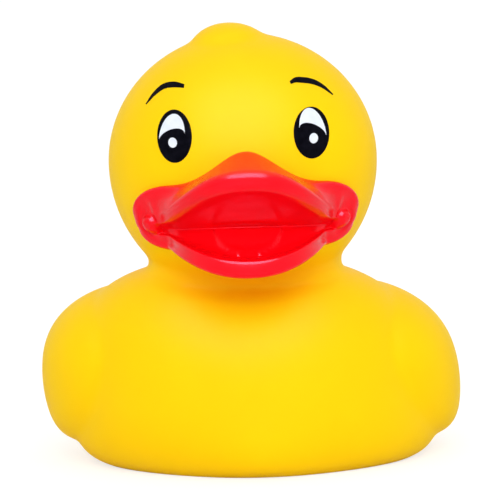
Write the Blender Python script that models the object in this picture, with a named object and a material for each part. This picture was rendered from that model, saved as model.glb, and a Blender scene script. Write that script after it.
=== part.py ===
"""A bath duck: one hollow moulded shell of soft vinyl, with a squeaker pressed into its base.

Metres, +Z up, the duck looks towards -Y and stands on Z = 0. Lengths along the body are
given from the middle of the body, and `centre_on_origin` moves the whole duck at the end so
that its box stands centred on the origin.
"""

import math

import bmesh
import bpy
import numpy as np
from mathutils import Matrix, Vector
from mathutils.bvhtree import BVHTree

# Body, seen from the side: heights of the back and of the keel along Y
BREAST_Y = -0.0300
BREAST_Z = 0.0150
CREST_Z = 0.0369
BACK_Y = 0.0235
BACK_Z = 0.0290
TAIL_Y = 0.0410
TAIL_Z = 0.0350
BASE_REAR_Y = 0.0080
BASE_SINK = 0.0016

# Body, seen from above and from the front
BODY_HALF_WIDTH = 0.0328
LEAN_SLOPE = -0.078
LEAN_LEVEL_Z = 0.0098
WIDEST_Y = 0.0000
WIDEST_Z = 0.0110
TAIL_ROOT_Y = 0.0330
TAIL_HALF_WIDTH = 0.0105
SHOULDER_POWER = 2.66
KEEL_POWER = 5.0
KEEL_FADE_START_Y = -0.0100
KEEL_FADE_END_Y = 0.0240
FOREFOOT_POWER = 5.0

# Head: an ellipsoid, leaning a little to its right on the neck
HEAD_X = -0.00087
HEAD_Y = -0.0090
HEAD_Z = 0.0541
HEAD_HALF_WIDTH = 0.0237
HEAD_HALF_DEPTH = 0.0235
HEAD_CROWN_HEIGHT = 0.0224
HEAD_JAW_HEIGHT = 0.0242
HEAD_LEAN = math.radians(0.2)

# Neck: fills the fold between head and body to a stub of this size
NECK_HALF_WIDTH = 0.0170
NECK_HALF_DEPTH = 0.0145
NECK_LOW_Z = 0.0340
NECK_HIGH_Z = 0.0440

# Tuft on the crown: a low lock, steep on its right side and running out on its left
TUFT_X = -0.0016
TUFT_HALF_WIDTH = 0.0076
TUFT_HALF_LENGTH = 0.0085
TUFT_RISE = 0.0019
TUFT_TILT = math.radians(4)

# Wings: pads that lie along the sides and end in three feather tips
WING_Y = 0.0040
LEFT_WING_RISE = 0.0004
WING_Z = 0.0164
WING_FORWARD = 0.0180
WING_BACKWARD = 0.0250
WING_UPWARD = 0.0143
WING_DOWNWARD = 0.0137
WING_BULGE = 0.0051
WING_PITCH = math.radians(4)
WING_SINK = 0.0060
WING_TAPER = 0.30
PAD_POWER = 2.4
PAD_CROWN_POWER = 2.2
HIGHEST_SEAT = 0.93
FEATHERS = 3
FEATHER_DEPTH = 0.0014

# Bill, in the head's axes: heights from the line where the jaws meet, reaches forward from
# the middle of the head
BILL_TURN = math.radians(1.4)
MOUTH_Z = -0.0093
UPPER_REACH = 0.0350
UPPER_HALF_WIDTH = 0.0150
UPPER_CORNER_REACH = 0.0164
LOWER_REACH = 0.0333
LOWER_HALF_WIDTH = 0.0136
LOWER_CORNER_REACH = 0.0164
PLAN_POWER = 2.2
PLAN_FULLNESS = 0.6
PLAN_POINTS = 401
CHEEK_Z = 0.0070
CULMEN_RISE = 0.0060
CULMEN_HALF_WIDTH = 0.0072
RIDGE_Z = 0.0107
RIDGE_CORNER_Z = 0.0018
RIDGE_POWER = 2.3
LIP_Z = 0.0060
LIP_CORNER_Z = 0.0004
LIP_SETBACK = 0.0026
BEAD_SHARE = 0.36
BEAD_STEP = 0.0007
RIDGE_RADIUS = 0.0012
BEAD_RADIUS = 0.0007
LIP_RADIUS = 0.0020
MOUTH_RADIUS = 0.0004
MOUTH_DROOP = 0.0005
RIM_Z = -0.0050
RIM_CORNER_Z = -0.0016
RIM_WIDTH = 0.0027
CHIN_Z = -0.0078
CHIN_CORNER_Z = -0.0041
CHIN_POWER = 2.2
CHIN_ROUND = 0.0012
THROAT_RISE = 0.0002
FLOOR_SLOPE = 0.0065
FLOOR_DIP = 0.0007
FLOOR_RADIUS = 0.0030
RIM_RADIUS = 0.0013
TONGUE_REACH = 0.0219
TONGUE_RADIUS = 0.0049
TONGUE_EDGE = 0.0004
TONGUE_RISE = 0.00040

# Lobes at the corners of the mouth: pads on the head, past the corners of the jaws
LOBE_MIDDLE = math.radians(35)
LOBE_END = math.radians(57.8)
LOBE_TIP_Z = 0.0005
LOBE_FOOT_Z = -0.0045
LOBE_ROOT_FOOT_Z = -0.0088
LOBE_TOP_POWER = 1.9
LOBE_FOOT_POWER = 2.5
LOBE_RISE = 0.0013
LOBE_EDGE_POWER = 12
LOBE_RADIUS = 0.0010
LOBE_BLEND = math.radians(1.7)
LOBE_END_TRIM = 0.005
MOUTH_RUN_OUT = math.radians(1.6)
JAW_BLEND = 0.0005
ROOT_DEPTH = 0.0025
BALL_AZIMUTH = math.radians(46.5)
BALL_Z = 0.0001
BALL_RADIUS = 0.0015
BALL_RISE = 0.0007
BALL_GROOVE = 0.0004
GROOVE_PLACE = 1.25
GROOVE_WIDTH = 0.35
DIMPLE_AZIMUTH = math.radians(46.5)
DIMPLE_Z = 0.0029
DIMPLE_RADIUS = 0.0016
DIMPLE_DEPTH = 0.0004

# Printed eyes and brows, as places on the front of the head
LEFT_EYE = {
    "oval": ((-0.01155, 0.00625), 0.00299, 0.00444, math.radians(-2.4)),
    "crescent": ((-0.01424, 0.00555), (-0.01174, 0.00995), (-0.00975, 0.00653), (-0.01172, 0.00751)),
    "glint": ((-0.01186, 0.00521), 0.00075, 0.00085, 0.0),
    "brow": (
        (
            (-0.01643, 0.01132),
            (-0.01482, 0.01319),
            (-0.01315, 0.01439),
            (-0.01138, 0.01471),
            (-0.00971, 0.01452),
        ),
        (0.00015, 0.00055, 0.00080, 0.00090, 0.00060),
    ),
}
RIGHT_EYE = {
    "oval": ((0.01194, 0.00619), 0.00308, 0.00432, math.radians(2.4)),
    "crescent": ((0.00986, 0.00699), (0.01197, 0.01024), (0.01449, 0.00542), (0.01201, 0.00775)),
    "glint": ((0.01226, 0.00527), 0.00075, 0.00085, 0.0),
    "brow": (
        (
            (0.00856, 0.01463),
            (0.00944, 0.01499),
            (0.01065, 0.01490),
            (0.01238, 0.01451),
            (0.01410, 0.01362),
            (0.01592, 0.01204),
        ),
        (0.00050, 0.00080, 0.00090, 0.00080, 0.00055, 0.00015),
    ),
}

TIP_CUT = 0.12
BLACK_PROUD = 0.00006
WHITE_PROUD = 0.00010
BLACK_SINK = 0.00030
WHITE_SINK = 0.00015
FILM_WELD = 0.000002

# Shell and squeaker
WALL = 0.0017
HOLE_RADIUS = 0.0055
RECESS_RADIUS = 0.0088
RECESS_DEPTH = 0.0013
GAP = 0.0003
FLANGE_THICKNESS = 0.0009
BARB_HEIGHT = 0.0024
BARB_GRIP = 0.0007
BARB_LEAD = 0.0006
EDGE_BREAK = 0.0003
PLUG_BORE = 0.0032
REED_LENGTH = 0.0030
REED_LIP = 0.0008
AIR_HOLE = 0.0009

# Fineness of the surfaces
BODY_STATIONS = 56
RING_POINTS = 64
SKIN_VOXEL = 0.0008
SKIN_SMOOTHING = 12
SKIN_TRIANGLES = 5900
CAVITY_VOXEL = 0.0016
CAVITY_SMOOTHING = 2
CAVITY_TRIANGLES = 1600
BILL_STATIONS = 91
BILL_ARC_POINTS = 4
BILL_LINE_POINTS = 2
BILL_TRIANGLES = 3900
OVAL_ROWS = 9
CRESCENT_POINTS = 13
STROKE_POINTS = 9
PAD_RINGS = 7
PAD_SPOKES = 40

YELLOW, RED, BLACK, WHITE = range(4)


def material(name, colour, roughness, metallic=0.0):
    """A plain finish."""
    finish = bpy.data.materials.new(name)
    finish.use_nodes = True
    shader = finish.node_tree.nodes["Principled BSDF"]
    shader.inputs["Base Color"].default_value = (*colour, 1)
    shader.inputs["Roughness"].default_value = roughness
    shader.inputs["Metallic"].default_value = metallic
    finish.diffuse_color = (*colour, 1)
    return finish


def duck_finishes():
    """Vinyl, bill paint, and the two inks of the eyes, in the order of the face indices."""
    return (
        material("yellow_vinyl", (0.95, 0.66, 0.01), 0.42),
        material("red_bill_paint", (0.80, 0.006, 0.014), 0.22),
        material("black_eye_ink", (0.012, 0.012, 0.018), 0.25),
        material("white_eye_ink", (0.80, 0.84, 0.86), 0.30),
    )


def add_object(name, mesh):
    piece = bpy.data.objects.new(name, mesh)
    bpy.context.collection.objects.link(piece)
    return piece


def as_helper(piece):
    """Marks a blank or a cutter, which is not part of the duck."""
    piece.hide_render = True
    piece.display_type = "WIRE"
    return piece


def object_from(name, bm):
    bmesh.ops.recalc_face_normals(bm, faces=bm.faces)
    mesh = bpy.data.meshes.new(name)
    bm.to_mesh(mesh)
    bm.free()
    return add_object(name, mesh)


def loft(name, rings):
    """A closed skin over rings of equal count, with both ends filled."""
    bm = bmesh.new()
    loops = [[bm.verts.new(point) for point in ring] for ring in rings]
    for near, far in zip(loops, loops[1:]):
        for i in range(len(near)):
            j = (i + 1) % len(near)
            bm.faces.new((near[i], near[j], far[j], far[i]))
    bm.faces.new(loops[0])
    bm.faces.new(loops[-1])
    return object_from(name, bm)


def evaluated_mesh(piece):
    """The piece's mesh with its modifiers worked in."""
    graph = bpy.context.evaluated_depsgraph_get()
    return bpy.data.meshes.new_from_object(piece.evaluated_get(graph))


def apply_modifiers(piece):
    mesh = evaluated_mesh(piece)
    piece.modifiers.clear()
    piece.data = mesh
    return piece


def combine(piece, other, operation):
    """Joins another closed solid to the piece, or cuts it away."""
    step = piece.modifiers.new(operation.lower(), "BOOLEAN")
    step.operation = operation
    step.solver = "EXACT"
    step.object = other
    apply_modifiers(piece)
    bpy.data.objects.remove(other)
    return piece


def bezier(start, pull_start, pull_end, end, steps=40):
    """Points on a cubic curve, its ends and the two points that pull it."""
    corners = np.array([start, pull_start, pull_end, end])
    t = np.linspace(0, 1, steps)[:, None]
    weights = np.hstack([(1 - t) ** 3, 3 * t * (1 - t) ** 2, 3 * t**2 * (1 - t), t**3])
    return weights @ corners


def outline_of(*curves):
    """A height or width along Y, read from curves that follow one another."""
    points = np.vstack(curves)
    return lambda y: float(np.interp(y, points[:, 0], points[:, 1]))


def rounding(start, end, power=2.0, steps=60):
    """A rounded corner that leaves `start` upright and reaches `end` level: a quarter of an
    oval, squarer as the power rises over 2."""
    (y0, z0), (y1, z1) = start, end
    turn = np.linspace(0, math.pi / 2, steps)
    along = np.cos(turn) ** (2 / power)
    up = np.sin(turn) ** (2 / power)
    return np.column_stack([y1 + (y0 - y1) * along, z0 + (z1 - z0) * up])


def stern(start, end, pull):
    """A long rounding that leaves `start` level and reaches `end` upright."""
    (y0, z0), (y1, z1) = start, end
    return bezier(start, (y0 + pull * (y1 - y0), z0), (y1, z1 - pull * (z1 - z0)), end)


def sweep(start, end, pull_start=0.5, pull_end=0.5, end_slope=0.0):
    """A long curve that is level at its start and has the given slope at its end."""
    (y0, z0), (y1, z1) = start, end
    back = pull_end * (y1 - y0)
    return bezier(start, (y0 + pull_start * (y1 - y0), z0), (y1 - back, z1 - back * end_slope), end)


class BodyLines:
    """The lines of the body: back, keel, widest height and half width along Y."""

    def __init__(self):
        breast = (BREAST_Y, BREAST_Z)
        crest = (HEAD_Y, CREST_Z)
        tail = (TAIL_Y, TAIL_Z)
        keel = -BASE_SINK
        self.back = outline_of(
            rounding(breast, crest, 2.2),
            sweep(crest, (BACK_Y, BACK_Z), 0.45, 0.40),
            sweep((BACK_Y, BACK_Z), tail, 0.45, 0.30, end_slope=0.9),
        )
        self.keel = outline_of(
            rounding(breast, (WIDEST_Y, keel), FOREFOOT_POWER),
            stern((BASE_REAR_Y, keel), tail, pull=0.62),
        )
        self.widest = outline_of(
            sweep(breast, (WIDEST_Y, WIDEST_Z)),
            sweep((WIDEST_Y, WIDEST_Z), tail, 0.55, 0.30, end_slope=1.6),
        )
        self.half_width = outline_of(
            rounding((BREAST_Y, 0), (WIDEST_Y, BODY_HALF_WIDTH)),
            sweep((WIDEST_Y, BODY_HALF_WIDTH), (TAIL_ROOT_Y, TAIL_HALF_WIDTH), 0.62, 0.22, end_slope=-1.1),
            stern((TAIL_ROOT_Y, TAIL_HALF_WIDTH), (TAIL_Y, 0), pull=0.60),
        )

    def bend(self, y, above):
        """Squareness and height of the upper or the lower half of a section."""
        if above:
            return SHOULDER_POWER, self.back(y) - self.widest(y)
        fullness = (self.half_width(y) / BODY_HALF_WIDTH) ** 3
        fullness *= 1 - soft_step(y, KEEL_FADE_START_Y, KEEL_FADE_END_Y)
        return 2 + (KEEL_POWER - 2) * fullness, self.widest(y) - self.keel(y)

    def ring(self, y):
        """The section across the body at one place along it."""
        middle = self.widest(y)
        points = []
        for i in range(RING_POINTS):
            angle = 2 * math.pi * i / RING_POINTS
            power, height = self.bend(y, math.sin(angle) > 0)
            across, up = squared(math.cos(angle), power), squared(math.sin(angle), power)
            z = middle + height * up
            points.append((self.half_width(y) * across + sway(z), y, z))
        return points

    def side(self, y, z):
        """Half width of the body at one height of one section."""
        middle = self.widest(y)
        power, height = self.bend(y, z > middle)
        up = min(abs(z - middle) / height, HIGHEST_SEAT)
        return self.half_width(y) * (1 - up**power) ** (1 / power)


def soft_step(value, start, end):
    """0 before start, 1 past end, and smooth between."""
    t = min(max((value - start) / (end - start), 0.0), 1.0)
    return t * t * (3 - 2 * t)


def sway(z):
    """The body's slight lean to its right, as a sideways shift that grows with height."""
    return LEAN_SLOPE * (z - LEAN_LEVEL_Z)


def squared(value, power):
    """Cosine or sine of an oval that grows squarer as the power rises over 2."""
    return math.copysign(abs(value) ** (2 / power), value)


def body_blank(lines):
    """Body and tail as one loft along Y, with stations closer together at both ends."""
    middle, half = (TAIL_Y + BREAST_Y) / 2, (TAIL_Y - BREAST_Y) / 2
    turns = np.linspace(0.02, 0.98, BODY_STATIONS) * math.pi
    return loft("body_blank", [lines.ring(middle - half * math.cos(turn)) for turn in turns])


def head_place():
    """The head's own axes: its middle, leaning a little to its right."""
    return Matrix.Translation((HEAD_X, HEAD_Y, HEAD_Z)) @ Matrix.Rotation(-HEAD_LEAN, 4, "Y")


def head_half_height(z):
    """The head is a little longer below its middle than above it."""
    return HEAD_CROWN_HEIGHT if z > 0 else HEAD_JAW_HEIGHT


def head_blank():
    bm = bmesh.new()
    bmesh.ops.create_uvsphere(bm, u_segments=72, v_segments=48, radius=1)
    for vert in bm.verts:
        x, y, z = vert.co
        vert.co = (x * HEAD_HALF_WIDTH, y * HEAD_HALF_DEPTH, z * head_half_height(z))
    bmesh.ops.transform(bm, matrix=head_place(), verts=bm.verts)
    return object_from("head_blank", bm)


def neck_blank():
    neck = cylinder("neck_blank", 1, NECK_LOW_Z, NECK_HIGH_Z)
    size = Matrix.Diagonal((NECK_HALF_WIDTH, NECK_HALF_DEPTH, 1, 1))
    neck.data.transform(Matrix.Translation((HEAD_X, HEAD_Y, 0)) @ size)
    return neck


def tuft_blank():
    """A low lock of hair across the crown, half sunk into it."""
    bm = bmesh.new()
    bmesh.ops.create_uvsphere(bm, u_segments=40, v_segments=28, radius=1)
    sink = 2 * TUFT_RISE
    size = Matrix.Diagonal((TUFT_HALF_WIDTH, TUFT_HALF_LENGTH, TUFT_RISE + sink, 1))
    crown = Matrix.Translation((TUFT_X, 0, HEAD_CROWN_HEIGHT - sink))
    turn = Matrix.Rotation(TUFT_TILT, 4, "Y")
    bmesh.ops.transform(bm, matrix=head_place() @ crown @ turn @ size, verts=bm.verts)
    return object_from("tuft_blank", bm)


def pad(name, outline, surface, rise, sink):
    """A raised pad on a curved surface. `outline(turn)` gives the rim's two coordinates from
    the pad's middle, and `surface(u, v)` the point and the outward direction there."""
    rings = []
    for level in range(PAD_RINGS + 1):
        reach = 1 - level / PAD_RINGS
        reach = math.sin(reach * math.pi / 2)
        lift = rise * math.sqrt(1 - reach**PAD_CROWN_POWER)
        ring = []
        for spoke in range(PAD_SPOKES):
            u, v = outline(2 * math.pi * spoke / PAD_SPOKES)
            point, outward = surface(u * reach, v * reach)
            ring.append(point + outward * lift)
        rings.append(ring)
    middle_ring = rings.pop()
    bottom = []
    for spoke in range(PAD_SPOKES):
        u, v = outline(2 * math.pi * spoke / PAD_SPOKES)
        point, outward = surface(u, v)
        bottom.append(point - outward * sink)
    bm = bmesh.new()
    loops = [[bm.verts.new(point) for point in ring] for ring in [bottom, *rings]]
    for near, far in zip(loops, loops[1:]):
        for i in range(PAD_SPOKES):
            j = (i + 1) % PAD_SPOKES
            bm.faces.new((near[i], near[j], far[j], far[i]))
    bm.faces.new(loops[0])
    top = bm.verts.new(middle_ring[0])
    for i in range(PAD_SPOKES):
        bm.faces.new((loops[-1][i], loops[-1][(i + 1) % PAD_SPOKES], top))
    return object_from(name, bm)


def wing_outline(turn):
    """A leaf shape, blunt in front and ending in feather tips at the back."""
    forward, up = -math.cos(turn), math.sin(turn)
    along = WING_FORWARD if forward < 0 else WING_BACKWARD
    tall = WING_UPWARD if up > 0 else WING_DOWNWARD
    y, z = along * forward, tall * squared(up, PAD_POWER)
    behind = max(0.0, forward)
    scallop = abs(math.sin(FEATHERS * turn)) * behind**2
    y -= FEATHER_DEPTH * (1 - scallop) * behind
    z *= 1 - WING_TAPER * behind**2
    pitched = Matrix.Rotation(WING_PITCH, 2) @ Vector((y, z))
    return pitched.x, pitched.y


def wing_blank(lines, side):
    """One wing, its bulge measured out from the side of the body."""

    def surface(u, v):
        y, z = WING_Y + u, WING_Z + v + (LEFT_WING_RISE if side < 0 else 0)
        return Vector((side * lines.side(y, z) + sway(z), y, z)), Vector((side, 0, 0))

    return pad(f"wing_blank_{side}", wing_outline, surface, WING_BULGE, WING_SINK)


def join_blanks(name, blanks):
    """The blanks as one helper whose shells still run through each other."""
    bm = bmesh.new()
    for blank in blanks:
        bm.from_mesh(blank.data)
        bpy.data.objects.remove(blank)
    return object_from(name, bm)


def fuse(piece, voxel, smoothing):
    """Melts overlapping shells into one surface with soft hollows between them."""
    remesh = piece.modifiers.new("fuse", "REMESH")
    remesh.mode = "VOXEL"
    remesh.voxel_size = voxel
    soften = piece.modifiers.new("soften", "SMOOTH")
    soften.factor = 0.5
    soften.iterations = smoothing
    return apply_modifiers(piece)


def thin_out(piece, triangles):
    """Leaves about this many triangles, most of them where the surface curves."""
    piece.data.calc_loop_triangles()
    decimate = piece.modifiers.new("thin_out", "DECIMATE")
    decimate.ratio = triangles / len(piece.data.loop_triangles)
    return apply_modifiers(piece)


def cut_level(piece, height):
    """Cuts the piece off flat at a height and fills the cut."""
    bm = bmesh.new()
    bm.from_mesh(piece.data)
    geometry = list(bm.verts) + list(bm.edges) + list(bm.faces)
    bmesh.ops.bisect_plane(
        bm, geom=geometry, plane_co=(0, 0, height), plane_no=(0, 0, 1), clear_inner=True
    )
    rim = [edge for edge in bm.edges if edge.is_boundary]
    bmesh.ops.edgeloop_fill(bm, edges=rim)
    bmesh.ops.recalc_face_normals(bm, faces=bm.faces)
    bm.to_mesh(piece.data)
    bm.free()
    return piece


def rounded(corners, arc_points=5, straight_points=2):
    """A closed outline from corners given as (forward, up, radius), each turned by an arc."""
    points = []
    count = len(corners)
    for i, (forward, up, radius) in enumerate(corners):
        here = Vector((forward, up))
        before = Vector(corners[i - 1][:2])
        after = Vector(corners[(i + 1) % count][:2])
        back, ahead = (before - here), (after - here)
        reach = min(radius, 0.45 * back.length, 0.45 * ahead.length)
        start, end = here + back.normalized() * reach, here + ahead.normalized() * reach
        for step in range(arc_points + 1):
            t = step / arc_points
            points.append((1 - t) ** 2 * start + 2 * t * (1 - t) * here + t**2 * end)
        next_reach = min(corners[(i + 1) % count][2], 0.45 * ahead.length)
        leave = after - ahead.normalized() * next_reach
        for step in range(1, straight_points + 1):
            points.append(end.lerp(leave, step / (straight_points + 1)))
    return points


def superellipse(share, power):
    """Height of a rounded outline, from 1 at its middle to 0 at its end."""
    return max(1 - abs(share) ** power, 0.0) ** (1 / power)


def head_radius(azimuth, z):
    """Distance from the head's upright axis to its surface, at a height over its middle."""
    level = math.sqrt(max(1 - (z / head_half_height(z)) ** 2, 0.0))
    across, along = math.sin(azimuth) / HEAD_HALF_WIDTH, math.cos(azimuth) / HEAD_HALF_DEPTH
    return level / math.hypot(across, along)


class JawLine:
    """A jaw's outline seen from above: distance from the head's axis, and share of the half
    width, read by azimuth."""

    def __init__(self, reach, half_width, corner_reach):
        self.share = np.sin(np.linspace(-1, 1, PLAN_POINTS) * math.pi / 2)
        fullness = (1 - np.abs(self.share) ** PLAN_POWER) ** PLAN_FULLNESS
        forward = corner_reach + (reach - corner_reach) * fullness
        across = half_width * self.share
        self.azimuth = np.arctan2(across, forward)
        self.distance = np.hypot(across, forward)
        self.corner = math.atan2(half_width, corner_reach)

    def read(self, azimuth):
        distance = float(np.interp(azimuth, self.azimuth, self.distance))
        share = abs(float(np.interp(azimuth, self.azimuth, self.share)))
        return distance, share, (1 - share**PLAN_POWER) ** PLAN_FULLNESS


def lobe_share(azimuth):
    """0 up to the middle of the lobe, 1 at its outer end."""
    return min(max((abs(azimuth) - LOBE_MIDDLE) / (LOBE_END - LOBE_MIDDLE), 0.0), 1.0)


def painted_edges(azimuth):
    """Heights of the bill's upper and lower edge on the head."""
    out = lobe_share(azimuth)
    across = HEAD_HALF_WIDTH * math.sin(azimuth)
    culmen = CULMEN_RISE * math.exp(-((across / CULMEN_HALF_WIDTH) ** 2))
    chin = min(abs(azimuth) / LOBE_MIDDLE, 1.0) ** 2
    top = LOBE_TIP_Z + (CHEEK_Z - LOBE_TIP_Z) * superellipse(out, LOBE_TOP_POWER) + culmen
    foot = LOBE_TIP_Z + (LOBE_FOOT_Z - LOBE_TIP_Z) * superellipse(out, LOBE_FOOT_POWER)
    return top, foot + (LOBE_ROOT_FOOT_Z - LOBE_FOOT_Z) * (1 - chin)


def soft_larger(value, least, blend):
    """The larger of two lengths, with a rounded change from one to the other."""
    return least + blend * float(np.logaddexp(0, (value - least) / blend))


def bill_relief(azimuth, height):
    """Ball with a groove round it, and the dimple over it, at the corner of the mouth."""
    level = math.cos(math.asin(min(abs(MOUTH_Z + height) / HEAD_JAW_HEIGHT, 1)))
    around = HEAD_HALF_WIDTH * level

    def distance(azimuth_at, height_at):
        return math.hypot((abs(azimuth) - azimuth_at) * around, height - height_at)

    ball = distance(BALL_AZIMUTH, BALL_Z) / BALL_RADIUS
    dimple = distance(DIMPLE_AZIMUTH, DIMPLE_Z) / DIMPLE_RADIUS
    ring = BALL_GROOVE * math.exp(-(((ball - GROOVE_PLACE) / GROOVE_WIDTH) ** 2))
    return BALL_RISE * math.exp(-(ball**4)) - ring - DIMPLE_DEPTH * math.exp(-(dimple**2))


class BillLines:
    """The open bill as sections at azimuths round the head's axis. Past the corners of the
    mouth the same section flattens into the lobe."""

    def __init__(self):
        self.upper = JawLine(UPPER_REACH, UPPER_HALF_WIDTH, UPPER_CORNER_REACH)
        self.lower = JawLine(LOWER_REACH, LOWER_HALF_WIDTH, LOWER_CORNER_REACH)

    def heights(self, azimuth):
        """Ridge, lip, mouth, rim and chin at an azimuth."""
        upper, lower = self.upper.read(azimuth)[1], self.lower.read(azimuth)[1]
        ridge = RIDGE_Z + (RIDGE_CORNER_Z - RIDGE_Z) * upper**RIDGE_POWER
        lip = LIP_Z + (LIP_CORNER_Z - LIP_Z) * upper**RIDGE_POWER
        mouth = -MOUTH_DROOP * lower**2
        rim = RIM_Z + (RIM_CORNER_Z - RIM_Z) * lower**CHIN_POWER
        chin = CHIN_Z + (CHIN_CORNER_Z - CHIN_Z) * lower**CHIN_POWER
        out = lobe_share(azimuth)
        above, below = superellipse(out, LOBE_TOP_POWER), superellipse(out, LOBE_FOOT_POWER)
        return [
            LOBE_TIP_Z + (height - LOBE_TIP_Z) * (above if height > LOBE_TIP_Z else below)
            for height in (ridge, lip, mouth, rim, chin)
        ]

    def corners(self, azimuth):
        """Corners of the section, as height over the head's surface, height over the mouth,
        and radius."""
        out = lobe_share(azimuth)
        rise = LOBE_RISE * math.sqrt(1 - out**LOBE_EDGE_POWER)
        top, foot = painted_edges(azimuth)
        ridge, lip, mouth, rim, chin = self.heights(azimuth)
        bead = ridge - BEAD_SHARE * (ridge - lip)
        upper, _, upper_plan = self.upper.read(azimuth)
        lower, lower_share, lower_plan = self.lower.read(azimuth)

        def proud(distance, height):
            free = distance - head_radius(azimuth, MOUTH_Z + height)
            return soft_larger(free, rise, JAW_BLEND)

        past = max(abs(azimuth) - self.upper.corner, 0.0) / MOUTH_RUN_OUT
        closed = 1 - math.exp(-(past**2))
        throat = THROAT_RISE + (proud(upper, mouth) - THROAT_RISE) * closed
        return (
            (-ROOT_DEPTH, top, 0),
            (rise, top, LOBE_RADIUS),
            (proud(upper, ridge), ridge, RIDGE_RADIUS),
            (proud(upper, ridge), bead, BEAD_RADIUS),
            (proud(upper, bead) - BEAD_STEP * upper_plan, bead, BEAD_RADIUS),
            (proud(upper, lip) - LIP_SETBACK * upper_plan, lip, LIP_RADIUS),
            (throat, mouth, MOUTH_RADIUS),
            (throat + FLOOR_SLOPE * lower_plan, rim - FLOOR_DIP * lower_plan, FLOOR_RADIUS),
            (proud(lower, rim) - RIM_WIDTH * lower_plan, rim, RIM_RADIUS),
            (proud(lower, rim), (rim + chin) / 2, RIM_RADIUS),
            (proud(lower, chin) - CHIN_ROUND * lower_plan, chin, CHIN_ROUND),
            (THROAT_RISE + (rise - THROAT_RISE) * lower_share**2, foot, LOBE_RADIUS),
            (-ROOT_DEPTH, foot, 0),
        )

    def ring(self, azimuth, arc_points, straight_points):
        """The section's outline as points in the head's axes."""
        points = []
        corner = self.upper.corner
        lobe = soft_step(abs(azimuth), corner - LOBE_BLEND, corner + LOBE_BLEND)
        for out, height in rounded(self.corners(azimuth), arc_points, straight_points):
            surface = head_radius(azimuth, MOUTH_Z + height)
            if out > 0:
                out += lobe * bill_relief(azimuth, height)
            distance = surface + out
            x, y = distance * math.sin(azimuth), -distance * math.cos(azimuth)
            height += self.tongue(x, -y, height)
            points.append((x, y, MOUTH_Z + height))
        return points

    @staticmethod
    def tongue(x, forward, height):
        """Lift of the low round tongue on the floor of the mouth."""
        if not RIM_Z - FLOOR_DIP < height < 0:
            return 0.0
        away = math.hypot(x, forward - TONGUE_REACH)
        return TONGUE_RISE * (1 - soft_step(away, TONGUE_RADIUS - TONGUE_EDGE, TONGUE_RADIUS))


def bill_place():
    """The bill's own axes: the head's, turned a little to the left."""
    return head_place() @ Matrix.Rotation(BILL_TURN, 4, "Z")


def bill_blank(stations, arc_points, straight_points):
    lines = BillLines()
    turns = np.sin(np.linspace(-1, 1, stations) * math.pi / 2) * (1 - LOBE_END_TRIM)
    rings = [lines.ring(LOBE_END * turn, arc_points, straight_points) for turn in turns]
    bill = loft("bill_blank", rings)
    bill.data.transform(bill_place())
    return bill


class Prints:
    """Ink films laid on the front of the head."""

    def __init__(self, skin):
        self.tree = BVHTree.FromObject(skin, bpy.context.evaluated_depsgraph_get())
        self.place = head_place()
        self.turn = self.place.to_3x3()

    def on_skin(self, x, z):
        """The skin under a place seen from the front, and the way out of the head there."""
        start = self.place @ Vector((x, -2 * HEAD_HALF_DEPTH, z))
        point = self.tree.ray_cast(start, self.turn @ Vector((0, 1, 0)))[0]
        tall = head_half_height(z)
        level = math.sqrt(1 - (x / HEAD_HALF_WIDTH) ** 2 - (z / tall) ** 2)
        outward = Vector((x / HEAD_HALF_WIDTH**2, -level / HEAD_HALF_DEPTH, z / tall**2))
        return point, self.turn @ outward.normalized()

    def film(self, name, rows, proud, sink):
        """A thin closed film over rows of places on the head."""
        bm = bmesh.new()
        tops, bottoms = [], []
        for row in rows:
            spots = [self.on_skin(x, z) for x, z in row]
            tops.append([bm.verts.new(point + normal * proud) for point, normal in spots])
            bottoms.append([bm.verts.new(point - normal * sink) for point, normal in spots])
        count = len(rows[0])
        for grid in (tops, bottoms):
            for near, far in zip(grid, grid[1:]):
                for i in range(count - 1):
                    bm.faces.new((near[i], near[i + 1], far[i + 1], far[i]))
        upper, lower = rim_of(tops), rim_of(bottoms)
        for i in range(len(upper)):
            j = (i + 1) % len(upper)
            bm.faces.new((upper[i], upper[j], lower[j], lower[i]))
        bmesh.ops.remove_doubles(bm, verts=bm.verts, dist=FILM_WELD)
        return object_from(name, bm)


def rim_of(grid):
    """The points round the edge of a grid, in order."""
    right = [row[-1] for row in grid[1:]]
    left = [row[0] for row in grid[-2:0:-1]]
    return grid[0] + right + grid[-1][-2::-1] + left


def oval_rows(centre, half_width, half_height, tilt, count):
    """An oval as rows across it, each as long as the oval is wide there."""
    turn = Matrix.Rotation(tilt, 2)
    rows = []
    for step in np.sin(np.linspace(-1, 1, count) * math.pi / 2):
        half = half_width * math.sqrt(max(1 - step**2, 0))
        row = [turn @ Vector((half * s, half_height * step)) for s in np.linspace(-1, 1, count)]
        rows.append([(centre[0] + p.x, centre[1] + p.y) for p in row])
    return rows


def arc_through(start, top, end, count):
    """Points on half an oval that stands on the line from start to end and reaches top."""
    start, top, end = Vector(start), Vector(top), Vector(end)
    middle = (start + end) / 2
    return [
        middle + (start - middle) * math.cos(t) + (top - middle) * math.sin(t)
        for t in np.linspace(TIP_CUT, math.pi - TIP_CUT, count)
    ]


def crescent_rows(tip_left, top, tip_right, pupil_top, count):
    """The white of an eye, between the pupil and an oval over it."""
    outer = arc_through(tip_left, top, tip_right, count)
    inner = arc_through(tip_left, pupil_top, tip_right, count)
    return [[tuple(a.lerp(b, s)) for a, b in zip(inner, outer)] for s in np.linspace(0, 1, count // 4)]


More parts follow.
